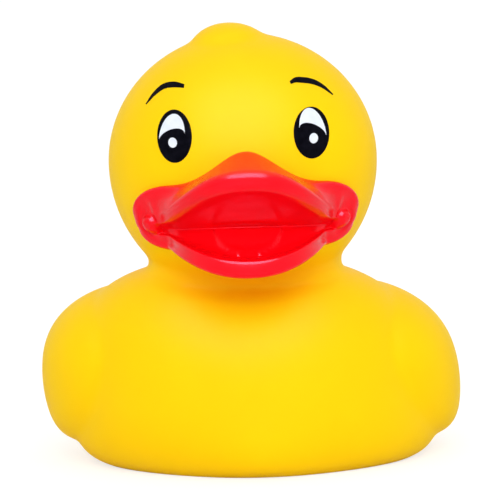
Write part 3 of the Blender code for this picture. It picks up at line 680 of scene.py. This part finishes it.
def cut_level(piece, height):
    """Cuts the piece off flat at a height and fills the cut."""
    bm = bmesh.new()
    bm.from_mesh(piece.data)
    geometry = list(bm.verts) + list(bm.edges) + list(bm.faces)
    bmesh.ops.bisect_plane(
        bm, geom=geometry, plane_co=(0, 0, height), plane_no=(0, 0, 1), clear_inner=True
    )
    rim = [edge for edge in bm.edges if edge.is_boundary]
    bmesh.ops.edgeloop_fill(bm, edges=rim)
    bmesh.ops.recalc_face_normals(bm, faces=bm.faces)
    bm.to_mesh(piece.data)
    bm.free()
    return piece


def rounded(corners, arc_points, straight_points):
    """A closed outline from corners given as (forward, up, radius), each turned by an arc. The
    floor of the mouth has more points than the rest."""
    points = []
    count = len(corners)
    for i, (forward, up, radius) in enumerate(corners):
        here = Vector((forward, up))
        before = Vector(corners[i - 1][:2])
        after = Vector(corners[(i + 1) % count][:2])
        back, ahead = (before - here), (after - here)
        reach = min(radius, ARC_LIMIT * back.length, ARC_LIMIT * ahead.length)
        start, end = here + back.normalized() * reach, here + ahead.normalized() * reach
        for step in range(arc_points + 1):
            t = step / arc_points
            points.append((1 - t) ** 2 * start + 2 * t * (1 - t) * here + t**2 * end)
        next_reach = min(corners[(i + 1) % count][2], ARC_LIMIT * ahead.length)
        leave = after - ahead.normalized() * next_reach
        steps = FLOOR_POINTS if i == MOUTH_CORNER else straight_points
        for step in range(1, steps + 1):
            points.append(end.lerp(leave, step / (steps + 1)))
    return points


def superellipse(share, power):
    """Height of a rounded outline, from 1 at its middle to 0 at its end."""
    return max(1 - abs(share) ** power, 0.0) ** (1 / power)


def head_radius(azimuth, z):
    """Distance from the head's upright axis to its surface, at a height over its middle."""
    level = math.sqrt(max(1 - (z / head_half_height(z)) ** 2, 0.0))
    across, along = math.sin(azimuth) / HEAD_HALF_WIDTH, math.cos(azimuth) / HEAD_HALF_DEPTH
    return level / math.hypot(across, along)


class JawLine:
    """A jaw's outline seen from above: distance from the head's axis, and share of the half
    width, read by azimuth."""

    def __init__(self, reach, half_width, corner_reach):
        self.share = np.sin(np.linspace(-1, 1, PLAN_POINTS) * math.pi / 2)
        fullness = (1 - np.abs(self.share) ** PLAN_POWER) ** PLAN_FULLNESS
        forward = corner_reach + (reach - corner_reach) * fullness
        across = half_width * self.share
        self.azimuth = np.arctan2(across, forward)
        self.distance = np.hypot(across, forward)
        self.corner = math.atan2(half_width, corner_reach)

    def read(self, azimuth):
        distance = float(np.interp(azimuth, self.azimuth, self.distance))
        share = abs(float(np.interp(azimuth, self.azimuth, self.share)))
        return distance, share, (1 - share**PLAN_POWER) ** PLAN_FULLNESS


def lobe_share(azimuth):
    """0 up to the middle of the lobe, 1 at its outer end."""
    return min(max((abs(azimuth) - LOBE_MIDDLE) / (LOBE_END - LOBE_MIDDLE), 0.0), 1.0)


def painted_edges(azimuth):
    """Heights of the bill's upper and lower edge on the head."""
    out = lobe_share(azimuth)
    across = HEAD_HALF_WIDTH * math.sin(azimuth)
    culmen = CULMEN_RISE * math.exp(-((across / CULMEN_HALF_WIDTH) ** 2))
    chin = min(abs(azimuth) / LOBE_MIDDLE, 1.0) ** 2
    top = LOBE_TIP_Z + (CHEEK_Z - LOBE_TIP_Z) * superellipse(out, LOBE_TOP_POWER) + culmen
    foot = LOBE_TIP_Z + (LOBE_FOOT_Z - LOBE_TIP_Z) * superellipse(out, LOBE_FOOT_POWER)
    return top, foot + (LOBE_ROOT_FOOT_Z - LOBE_FOOT_Z) * (1 - chin)


def soft_larger(value, least, blend):
    """The larger of two lengths, with a rounded change from one to the other."""
    return least + blend * float(np.logaddexp(0, (value - least) / blend))


def bill_relief(azimuth, height):
    """Ball with a groove round it, and the dimple over it, at the corner of the mouth."""
    level = math.cos(math.asin(min(abs(MOUTH_Z + height) / HEAD_JAW_HEIGHT, 1)))
    around = HEAD_HALF_WIDTH * level

    def distance(azimuth_at, height_at):
        return math.hypot((abs(azimuth) - azimuth_at) * around, height - height_at)

    ball = distance(BALL_AZIMUTH, BALL_Z) / BALL_RADIUS
    dimple = distance(DIMPLE_AZIMUTH, DIMPLE_Z) / DIMPLE_RADIUS
    ring = BALL_GROOVE * math.exp(-(((ball - GROOVE_PLACE) / GROOVE_WIDTH) ** 2))
    return BALL_RISE * math.exp(-(ball**4)) - ring - DIMPLE_DEPTH * math.exp(-(dimple**2))


class BillLines:
    """The open bill as sections at azimuths round the head's axis. Past the corners of the
    mouth the same section flattens into the lobe."""

    def __init__(self):
        self.upper = JawLine(UPPER_REACH, UPPER_HALF_WIDTH, UPPER_CORNER_REACH)
        self.lower = JawLine(LOWER_REACH, LOWER_HALF_WIDTH, LOWER_CORNER_REACH)

    def heights(self, azimuth):
        """Ridge, lip, mouth, rim and chin at an azimuth."""
        upper, lower = self.upper.read(azimuth)[1], self.lower.read(azimuth)[1]
        ridge = RIDGE_Z + (RIDGE_CORNER_Z - RIDGE_Z) * upper**RIDGE_POWER
        lip = LIP_Z + (LIP_CORNER_Z - LIP_Z) * upper**RIDGE_POWER
        mouth = -MOUTH_DROOP * lower**2
        rim = RIM_Z + (RIM_CORNER_Z - RIM_Z) * lower**CHIN_POWER
        chin = CHIN_Z + (CHIN_CORNER_Z - CHIN_Z) * lower**CHIN_POWER
        out = lobe_share(azimuth)
        above, below = superellipse(out, LOBE_TOP_POWER), superellipse(out, LOBE_FOOT_POWER)
        return [
            LOBE_TIP_Z + (height - LOBE_TIP_Z) * (above if height > LOBE_TIP_Z else below)
            for height in (ridge, lip, mouth, rim, chin)
        ]

    def corners(self, azimuth):
        """Corners of the section, as height over the head's surface, height over the mouth,
        and radius."""
        out = lobe_share(azimuth)
        rise = LOBE_RISE * math.sqrt(1 - out**LOBE_EDGE_POWER)
        top, foot = painted_edges(azimuth)
        ridge, lip, mouth, rim, chin = self.heights(azimuth)
        bead = ridge - BEAD_SHARE * (ridge - lip)
        upper, _, upper_plan = self.upper.read(azimuth)
        lower, lower_share, lower_plan = self.lower.read(azimuth)

        def proud(distance, height):
            free = distance - head_radius(azimuth, MOUTH_Z + height)
            return soft_larger(free, rise, JAW_BLEND)

        past = max(abs(azimuth) - self.upper.corner, 0.0) / MOUTH_RUN_OUT
        closed = 1 - math.exp(-(past**2))
        throat = THROAT_RISE + (proud(upper, mouth) - THROAT_RISE) * closed
        return (
            (-ROOT_DEPTH, top, 0),
            (rise, top, LOBE_RADIUS),
            (proud(upper, ridge), ridge, RIDGE_RADIUS),
            (proud(upper, ridge), bead, BEAD_RADIUS),
            (proud(upper, lip) - LIP_SETBACK * upper_plan, lip, LIP_RADIUS),
            (throat, mouth, MOUTH_RADIUS),
            (throat + FLOOR_SLOPE * lower_plan, rim - FLOOR_DIP * lower_plan, FLOOR_RADIUS),
            (proud(lower, rim) - RIM_WIDTH * lower_plan, rim, RIM_RADIUS),
            (proud(lower, rim), (rim + chin) / 2, RIM_RADIUS),
            (proud(lower, chin) - CHIN_ROUND * lower_plan, chin, CHIN_ROUND),
            (THROAT_RISE + (rise - THROAT_RISE) * lower_share**2, foot, LOBE_RADIUS),
            (-ROOT_DEPTH, foot, 0),
        )

    def ring(self, azimuth, arc_points, straight_points):
        """The section's outline as points in the head's axes."""
        points = []
        corner = self.upper.corner
        lobe = soft_step(abs(azimuth), corner - LOBE_BLEND, corner + LOBE_BLEND)
        for out, height in rounded(self.corners(azimuth), arc_points, straight_points):
            surface = head_radius(azimuth, MOUTH_Z + height)
            if out > 0:
                out += lobe * bill_relief(azimuth, height)
            distance = surface + out
            x, y = distance * math.sin(azimuth), -distance * math.cos(azimuth)
            height += self.tongue(x, -y, height)
            points.append((x, y, MOUTH_Z + height))
        return points

    @staticmethod
    def tongue(x, forward, height):
        """Lift of the low round tongue on the floor of the mouth."""
        if not RIM_Z - FLOOR_DIP < height < 0:
            return 0.0
        away = math.hypot(x, forward - TONGUE_REACH)
        root = soft_step(-height, MOUTH_RADIUS, 3 * MOUTH_RADIUS)
        step = soft_step(away, TONGUE_RADIUS - TONGUE_EDGE, TONGUE_RADIUS)
        return TONGUE_RISE * root * (1 - step)


def bill_place():
    """The bill's own axes: the head's, turned a little to the left."""
    return head_place() @ Matrix.Rotation(BILL_TURN, 4, "Z")


def bill_blank(stations, arc_points, straight_points):
    lines = BillLines()
    turns = np.sin(np.linspace(-1, 1, stations) * math.pi / 2) * (1 - LOBE_END_TRIM)
    rings = [lines.ring(LOBE_END * turn, arc_points, straight_points) for turn in turns]
    bill = loft("bill_blank", rings)
    bill.data.transform(bill_place())
    return bill


def cylinder(name, radius, bottom, top, segments=ROUND_SEGMENTS):
    bm = bmesh.new()
    bmesh.ops.create_cone(
        bm, cap_ends=True, segments=segments, radius1=radius, radius2=radius, depth=top - bottom
    )
    bmesh.ops.translate(bm, vec=(0, 0, (top + bottom) / 2), verts=bm.verts)
    return as_helper(object_from(name, bm))


def skin_piece():
    """Body, head, tuft and wings melted into one moulded skin, flat underneath, with the seat
    of the squeaker cut into its base."""
    lines = BodyLines()
    blanks = [body_blank(lines), neck_blank(), head_blank(), tuft_blank()]
    blanks += [wing_blank(lines, side) for side in (-1, 1)]
    skin = fuse(join_blanks("vinyl_skin", blanks), SKIN_VOXEL, SKIN_SMOOTHING)
    cut_level(skin, 0)
    combine(skin, cylinder("recess", RECESS_RADIUS, -WALL, RECESS_DEPTH), "DIFFERENCE")
    combine(skin, cylinder("hole", HOLE_RADIUS, -WALL, RECESS_DEPTH + 3 * WALL), "DIFFERENCE")
    return skin


class Prints:
    """Ink films laid on the front of the head."""

    def __init__(self, skin):
        self.tree = BVHTree.FromObject(skin, bpy.context.evaluated_depsgraph_get())
        self.place = head_place()
        self.turn = self.place.to_3x3()

    def on_skin(self, x, z):
        """The skin under a place seen from the front, and the way out of the head there."""
        start = self.place @ Vector((x, -2 * HEAD_HALF_DEPTH, z))
        point = self.tree.ray_cast(start, self.turn @ Vector((0, 1, 0)))[0]
        tall = head_half_height(z)
        level = math.sqrt(1 - (x / HEAD_HALF_WIDTH) ** 2 - (z / tall) ** 2)
        outward = Vector((x / HEAD_HALF_WIDTH**2, -level / HEAD_HALF_DEPTH, z / tall**2))
        return point, self.turn @ outward.normalized()

    def film(self, name, rows, proud, sink):
        """A thin closed film over rows of places on the head."""
        bm = bmesh.new()
        tops, bottoms = [], []
        for row in rows:
            spots = [self.on_skin(x, z) for x, z in row]
            tops.append([bm.verts.new(point + normal * proud) for point, normal in spots])
            bottoms.append([bm.verts.new(point - normal * sink) for point, normal in spots])
        count = len(rows[0])
        for grid in (tops, bottoms):
            for near, far in zip(grid, grid[1:]):
                for i in range(count - 1):
                    bm.faces.new((near[i], near[i + 1], far[i + 1], far[i]))
        upper, lower = rim_of(tops), rim_of(bottoms)
        for i in range(len(upper)):
            j = (i + 1) % len(upper)
            bm.faces.new((upper[i], upper[j], lower[j], lower[i]))
        bmesh.ops.remove_doubles(bm, verts=bm.verts, dist=FILM_WELD)
        return object_from(name, bm)


def rim_of(grid):
    """The points round the edge of a grid, in order."""
    right = [row[-1] for row in grid[1:]]
    left = [row[0] for row in grid[-2:0:-1]]
    return grid[0] + right + grid[-1][-2::-1] + left


def oval_rows(centre, half_width, half_height, tilt, count):
    """An oval as rows across it, each as long as the oval is wide there."""
    turn = Matrix.Rotation(tilt, 2)
    rows = []
    for step in np.sin(np.linspace(-1, 1, count) * math.pi / 2):
        half = half_width * math.sqrt(max(1 - step**2, 0))
        row = [turn @ Vector((half * s, half_height * step)) for s in np.linspace(-1, 1, count)]
        rows.append([(centre[0] + p.x, centre[1] + p.y) for p in row])
    return rows


def arc_through(start, top, end, count):
    """Points on half an oval that stands on the line from start to end and reaches top."""
    start, top, end = Vector(start), Vector(top), Vector(end)
    middle = (start + end) / 2
    return [
        middle + (start - middle) * math.cos(t) + (top - middle) * math.sin(t)
        for t in np.linspace(TIP_CUT, math.pi - TIP_CUT, count)
    ]


def crescent_rows(tip_left, top, tip_right, pupil_top, count):
    """The white of an eye, between the pupil and an oval over it."""
    outer = arc_through(tip_left, top, tip_right, count)
    inner = arc_through(tip_left, pupil_top, tip_right, count)
    shares = np.linspace(0, 1, count // 4)
    return [[tuple(a.lerp(b, share)) for a, b in zip(inner, outer)] for share in shares]


def stroke_rows(points, widths, count):
    """A brush stroke along a smooth line, with its width along it."""
    knots = np.array(points)
    run = np.concatenate([[0], np.cumsum(np.hypot(*np.diff(knots, axis=0).T))])
    at = np.linspace(0, run[-1], count)
    line = np.column_stack([smooth_curve(run, knots[:, i], at) for i in (0, 1)])
    heading = np.gradient(line, axis=0)
    heading /= np.hypot(*heading.T)[:, None]
    side = np.column_stack([-heading[:, 1], heading[:, 0]])
    half = smooth_curve(run, np.array(widths) / 2, at)[:, None]
    return [[tuple(p) for p in line + side * half * s] for s in (-1, 0, 1)]


def smooth_curve(run, values, at):
    """A natural flow through values at the given runs, by cubic pieces."""
    slopes = np.gradient(values, run)
    piece = np.clip(np.searchsorted(run, at, side="right") - 1, 0, len(run) - 2)
    length = run[piece + 1] - run[piece]
    t = (at - run[piece]) / length
    a, b = values[piece], values[piece + 1]
    p, q = slopes[piece] * length, slopes[piece + 1] * length
    return a + t * p + t**2 * (3 * (b - a) - 2 * p - q) + t**3 * (2 * (a - b) + p + q)


def make_films(body, oval, crescent, stroke):
    """The printed eyes and brows over the body, each with its ink, at the given fineness."""
    prints = Prints(body)
    films = []
    for side, eye in (("left", LEFT_EYE), ("right", RIGHT_EYE)):
        black = oval_rows(*eye["oval"], oval)
        brow = stroke_rows(*eye["brow"], stroke)
        white = crescent_rows(*eye["crescent"], crescent)
        glint = oval_rows(*eye["glint"], oval // 2 + 1)
        films += [
            (prints.film(f"eye_black_{side}", black, BLACK_PROUD, BLACK_SINK), BLACK),
            (prints.film(f"brow_{side}", brow, BLACK_PROUD, BLACK_SINK), BLACK),
            (prints.film(f"eye_white_{side}", white, WHITE_PROUD, WHITE_SINK), WHITE),
            (prints.film(f"eye_glint_{side}", glint, WHITE_PROUD, WHITE_SINK), WHITE),
        ]
    return films


def new_finish(name, colour):
    """A node material, its node list, its links and its shader."""
    finish = bpy.data.materials.new(name)
    finish.use_nodes = True
    finish.diffuse_color = (*colour, 1)
    tree = finish.node_tree
    return finish, tree.nodes, tree.links, tree.nodes["Principled BSDF"]


def noise(nodes, links, place, scale, detail=2):
    """A noise field over the object, scale in waves per metre."""
    field = nodes.new("ShaderNodeTexNoise")
    field.inputs["Scale"].default_value = scale
    field.inputs["Detail"].default_value = detail
    links.new(place, field.inputs["Vector"])
    return field.outputs["Fac"]


def spread(nodes, links, field, low, high, field_low=NOISE_LOW, field_high=NOISE_HIGH):
    """The field's middle range stretched from low to high."""
    stretch = nodes.new("ShaderNodeMapRange")
    stretch.inputs["From Min"].default_value = field_low
    stretch.inputs["From Max"].default_value = field_high
    stretch.inputs["To Min"].default_value = low
    stretch.inputs["To Max"].default_value = high
    links.new(field, stretch.inputs["Value"])
    return stretch.outputs["Result"]


def blended(nodes, links, share, first, second):
    """Two colours mixed by a field. A colour is a value or another field."""
    mix = nodes.new("ShaderNodeMix")
    mix.data_type = "RGBA"
    links.new(share, mix.inputs["Factor"])
    for slot, colour in ((6, first), (7, second)):
        if isinstance(colour, tuple):
            mix.inputs[slot].default_value = (*colour, 1)
        else:
            links.new(colour, mix.inputs[slot])
    return mix.outputs[2]


def near(nodes, links, place, centre, size):
    """A field of 1 at a point, falling to 0 on an ellipsoid round it."""
    shift = nodes.new("ShaderNodeVectorMath")
    shift.operation = "SUBTRACT"
    shift.inputs[1].default_value = centre
    links.new(place, shift.inputs[0])
    scale = nodes.new("ShaderNodeVectorMath")
    scale.operation = "DIVIDE"
    scale.inputs[1].default_value = size
    links.new(shift.outputs[0], scale.inputs[0])
    length = nodes.new("ShaderNodeVectorMath")
    length.operation = "LENGTH"
    links.new(scale.outputs[0], length.inputs[0])
    return spread(nodes, links, length.outputs["Value"], 1, 0, 0, 1)


def product(nodes, links, first, second):
    """Two fields multiplied."""
    times = nodes.new("ShaderNodeMath")
    times.operation = "MULTIPLY"
    links.new(first, times.inputs[0])
    links.new(second, times.inputs[1])
    return times.outputs[0]


def relief(nodes, links, shader, fields):
    """Bumps laid over each other. Each field comes with its height in metres."""
    last = None
    for field, height in fields:
        bump = nodes.new("ShaderNodeBump")
        bump.inputs["Strength"].default_value = 1.0
        bump.inputs["Distance"].default_value = height
        links.new(field, bump.inputs["Height"])
        if last is not None:
            links.new(last, bump.inputs["Normal"])
        last = bump.outputs["Normal"]
    links.new(last, shader.inputs["Normal"])


def vinyl_finish():
    """Soft yellow vinyl: satin, slightly cloudy, with a fine grain from the mould, and painted shade in
    deep orange under the bill.
    """
    finish, nodes, links, shader = new_finish(VINYL_SLOT, VINYL)
    place = nodes.new("ShaderNodeTexCoord").outputs["Object"]
    cloud = spread(nodes, links, noise(nodes, links, place, VINYL_WAVES["cloud"], CLOUD_DETAIL), 0, 1)
    cover = blended(nodes, links, cloud, VINYL_DEEP, VINYL)
    # Painted shade: the vinyl turns deep orange under the bill, fading out over an ellipsoid
    painted_shade = near(nodes, links, place, PAINTED_SHADE_PLACE, PAINTED_SHADE_SIZE)
    links.new(blended(nodes, links, painted_shade, cover, VINYL_PAINTED_SHADE), shader.inputs["Base Color"])
    grain = noise(nodes, links, place, VINYL_WAVES["grain"])
    links.new(spread(nodes, links, grain, *VINYL_ROUGHNESS), shader.inputs["Roughness"])
    dapple = noise(nodes, links, place, VINYL_WAVES["dapple"])
    bumps = ((grain, VINYL_BUMPS["grain"]), (dapple, VINYL_BUMPS["dapple"]))
    relief(nodes, links, shader, bumps)
    shader.inputs["Specular IOR Level"].default_value = VINYL_GLOSS
    return finish


def paint_finish():
    """Glossy red paint, thin on the top of the bill, where the yellow shows through; the orange there
    is also a painted reflection of the yellow head.
    """
    finish, nodes, links, shader = new_finish(PAINT_SLOT, PAINT)
    coords = nodes.new("ShaderNodeTexCoord")
    place = coords.outputs["Object"]
    cloud = spread(nodes, links, noise(nodes, links, place, PAINT_WAVES["cloud"], CLOUD_DETAIL), 0, 1)
    body = blended(nodes, links, cloud, PAINT_DEEP, PAINT)
    # Orange on the upward faces of the bill near the head: thin paint, and a painted reflection of the
    # yellow head
    facing = nodes.new("ShaderNodeSeparateXYZ")
    links.new(coords.outputs["Normal"], facing.inputs["Vector"])
    up = spread(nodes, links, facing.outputs["Z"], 0, 1, *THIN_AND_REFLECTED_FACING)
    level = nodes.new("ShaderNodeSeparateXYZ")
    links.new(place, level.inputs["Vector"])
    above = spread(nodes, links, level.outputs["Z"], 0, 1, *THIN_AND_REFLECTED_HEIGHTS)
    thin = product(nodes, links, up, above)
    links.new(blended(nodes, links, thin, body, PAINT_THIN_AND_REFLECTED), shader.inputs["Base Color"])
    grain = noise(nodes, links, place, PAINT_WAVES["grain"])
    satin = nodes.new("ShaderNodeMath")
    satin.operation = "ADD"
    links.new(spread(nodes, links, grain, *PAINT_ROUGHNESS), satin.inputs[0])
    links.new(spread(nodes, links, thin, 0, THIN_ROUGHER, 0, 1), satin.inputs[1])
    links.new(satin.outputs[0], shader.inputs["Roughness"])
    dapple = noise(nodes, links, place, PAINT_WAVES["dapple"])
    bumps = ((grain, PAINT_BUMPS["grain"]), (dapple, PAINT_BUMPS["dapple"]))
    relief(nodes, links, shader, bumps)
    sheen = spread(nodes, links, thin, PAINT_GLOSS, THIN_GLOSS, 0, 1)
    links.new(sheen, shader.inputs["Specular IOR Level"])
    shader.inputs["Specular Tint"].default_value = PAINT_SHEEN_TINT
    return finish


def ink_finish(name, colour, pale, roughness):
    """Printed ink with a little unevenness in its cover."""
    finish, nodes, links, shader = new_finish(name, colour)
    place = nodes.new("ShaderNodeTexCoord").outputs["Object"]
    cover = spread(nodes, links, noise(nodes, links, place, INK_WAVES["cloud"], CLOUD_DETAIL), 0, 1)
    links.new(blended(nodes, links, cover, colour, pale), shader.inputs["Base Color"])
    grain = noise(nodes, links, place, INK_WAVES["grain"])
    satin = spread(nodes, links, grain, roughness, INK_UNEVENNESS * roughness)
    links.new(satin, shader.inputs["Roughness"])
    relief(nodes, links, shader, ((grain, INK_BUMPS["grain"]),))
    shader.inputs["Specular IOR Level"].default_value = INK_GLOSS
    return finish


def fitting_finish(name, colour, worn, roughness, metallic):
    """Moulded plastic or turned brass of the squeaker."""
    finish, nodes, links, shader = new_finish(name, colour)
    place = nodes.new("ShaderNodeTexCoord").outputs["Object"]
    cloud = spread(nodes, links, noise(nodes, links, place, FITTING_WAVES["cloud"], CLOUD_DETAIL), 0, 1)
    links.new(blended(nodes, links, cloud, worn, colour), shader.inputs["Base Color"])
    grain = noise(nodes, links, place, FITTING_WAVES["grain"])
    satin = spread(nodes, links, grain, roughness, FITTING_UNEVENNESS * roughness)
    links.new(satin, shader.inputs["Roughness"])
    relief(nodes, links, shader, ((grain, FITTING_BUMPS["grain"]),))
    shader.inputs["Metallic"].default_value = metallic
    return finish


def dress(piece, finish):
    """Puts the finish on the whole piece."""
    piece.data.materials.clear()
    piece.data.materials.append(finish)
    return piece


def area_lamp(name, azimuth, elevation, size, power, use):
    """A soft lamp on a sphere round the duck, facing it. Azimuth 0 is in front."""
    lamp = bpy.data.lights.new(name, "AREA")
    lamp.shape = "RECTANGLE"
    lamp.size, lamp.size_y = size
    lamp.energy = power
    holder = add_object(name, lamp)
    turn, rise = math.radians(azimuth), math.radians(elevation)
    level = math.cos(rise)
    way = Vector((level * math.sin(turn), -level * math.cos(turn), math.sin(rise)))
    holder.location = Vector((0, 0, AIM_Z)) + LIGHT_DISTANCE * way
    holder.rotation_euler = (-way).to_track_quat("-Z", "Y").to_euler()
    holder.visible_glossy = use == "gloss"
    holder.visible_diffuse = use == "light"
    return holder


def build_world():
    """White wherever it is seen, also in a gloss, and weaker as light on the duck."""
    world = bpy.data.worlds.new("surround")
    bpy.context.scene.world = world
    world.use_nodes = True
    nodes, links = world.node_tree.nodes, world.node_tree.links
    path = nodes.new("ShaderNodeLightPath")
    seen = path.outputs["Is Camera Ray"]
    for ray in ("Is Glossy Ray", "Is Transmission Ray"):
        larger = nodes.new("ShaderNodeMath")
        larger.operation = "MAXIMUM"
        links.new(seen, larger.inputs[0])
        links.new(path.outputs[ray], larger.inputs[1])
        seen = larger.outputs[0]
    light = nodes["Background"]
    light.inputs["Color"].default_value = (1, 1, 1, 1)
    light.inputs["Strength"].default_value = SURROUND_LIGHT
    white = nodes.new("ShaderNodeBackground")
    white.inputs["Color"].default_value = (1, 1, 1, 1)
    white.inputs["Strength"].default_value = 1
    mix = nodes.new("ShaderNodeMixShader")
    links.new(seen, mix.inputs["Fac"])
    links.new(light.outputs["Background"], mix.inputs[1])
    links.new(white.outputs["Background"], mix.inputs[2])
    links.new(mix.outputs["Shader"], nodes["World Output"].inputs["Surface"])


def build_stage():
    """Pale ground, which glows a little so that it is as white as the surround, and soft lamps."""
    bm = bmesh.new()
    bmesh.ops.create_grid(bm, x_segments=1, y_segments=1, size=GROUND_SIZE)
    ground = object_from("ground", bm)
    ground.location.z = -GROUND_GAP
    finish, nodes, links, shader = new_finish("pale_ground", GROUND)
    shader.inputs["Roughness"].default_value = GROUND_ROUGHNESS
    shader.inputs["Specular IOR Level"].default_value = 0
    shader.inputs["Emission Color"].default_value = (1, 1, 1, 1)
    path = nodes.new("ShaderNodeLightPath")
    cover = blended(nodes, links, path.outputs["Is Camera Ray"], GROUND, GROUND_SEEN)
    links.new(cover, shader.inputs["Base Color"])
    glow = spread(nodes, links, path.outputs["Is Camera Ray"], 0, GROUND_GLOW, 0, 1)
    links.new(glow, shader.inputs["Emission Strength"])
    dress(ground, finish)
    lamps = [area_lamp(*lamp) for lamp in LAMPS]


def place_camera():
    camera = bpy.data.cameras.new("camera")
    camera.sensor_width = SENSOR
    camera.lens = LENS
    holder = add_object("camera", camera)
    aim = Vector((AIM_X, 0, AIM_Z))
    back = Vector((0, -math.cos(CAMERA_ELEVATION), math.sin(CAMERA_ELEVATION)))
    holder.location = aim + back * CAMERA_DISTANCE
    level = (-back).to_track_quat("-Z", "Y").to_matrix()
    holder.rotation_euler = (level @ Matrix.Rotation(-CAMERA_ROLL, 3, "Z")).to_euler()
    camera.clip_start, camera.clip_end = CLIP_NEAR, CLIP_FAR
    bpy.context.scene.camera = holder
    bpy.context.scene.view_settings.view_transform = "Standard"


def main():
    low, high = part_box("squeaker_housing")
    seat = Matrix.Translation(((low[0] + high[0]) / 2, (low[1] + high[1]) / 2, 0))
    finishes = {
        VINYL_SLOT: vinyl_finish(),
        PAINT_SLOT: paint_finish(),
        BLACK: ink_finish(BLACK, BLACK_INK, BLACK_INK_PALE, BLACK_INK_ROUGHNESS),
        WHITE: ink_finish(WHITE, WHITE_INK, WHITE_INK_PALE, WHITE_INK_ROUGHNESS),
    }
    skin = skin_piece()
    films = make_films(skin, OVAL_ROWS, CRESCENT_POINTS, STROKE_POINTS)
    bill = bill_blank(BILL_STATIONS, BILL_ARC_POINTS, BILL_LINE_POINTS)
    bill.name = "open_bill"
    for piece, slot in [(skin, VINYL_SLOT), (bill, PAINT_SLOT), *films]:
        smooth(piece).data.transform(seat)
        dress(piece, finishes[slot])
        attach(piece, "root")
        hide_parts("duck_body")
    plastic = fitting_finish("squeaker_plastic", PLASTIC, PLASTIC_WORN, PLASTIC_ROUGHNESS, 0)
    brass = fitting_finish("reed_brass", BRASS, BRASS_WORN, BRASS_ROUGHNESS, 1)
    dress(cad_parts["squeaker_housing"], plastic)
    dress(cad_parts["squeaker_reed"], brass)
    build_world()
    build_stage()
    place_camera()


main()
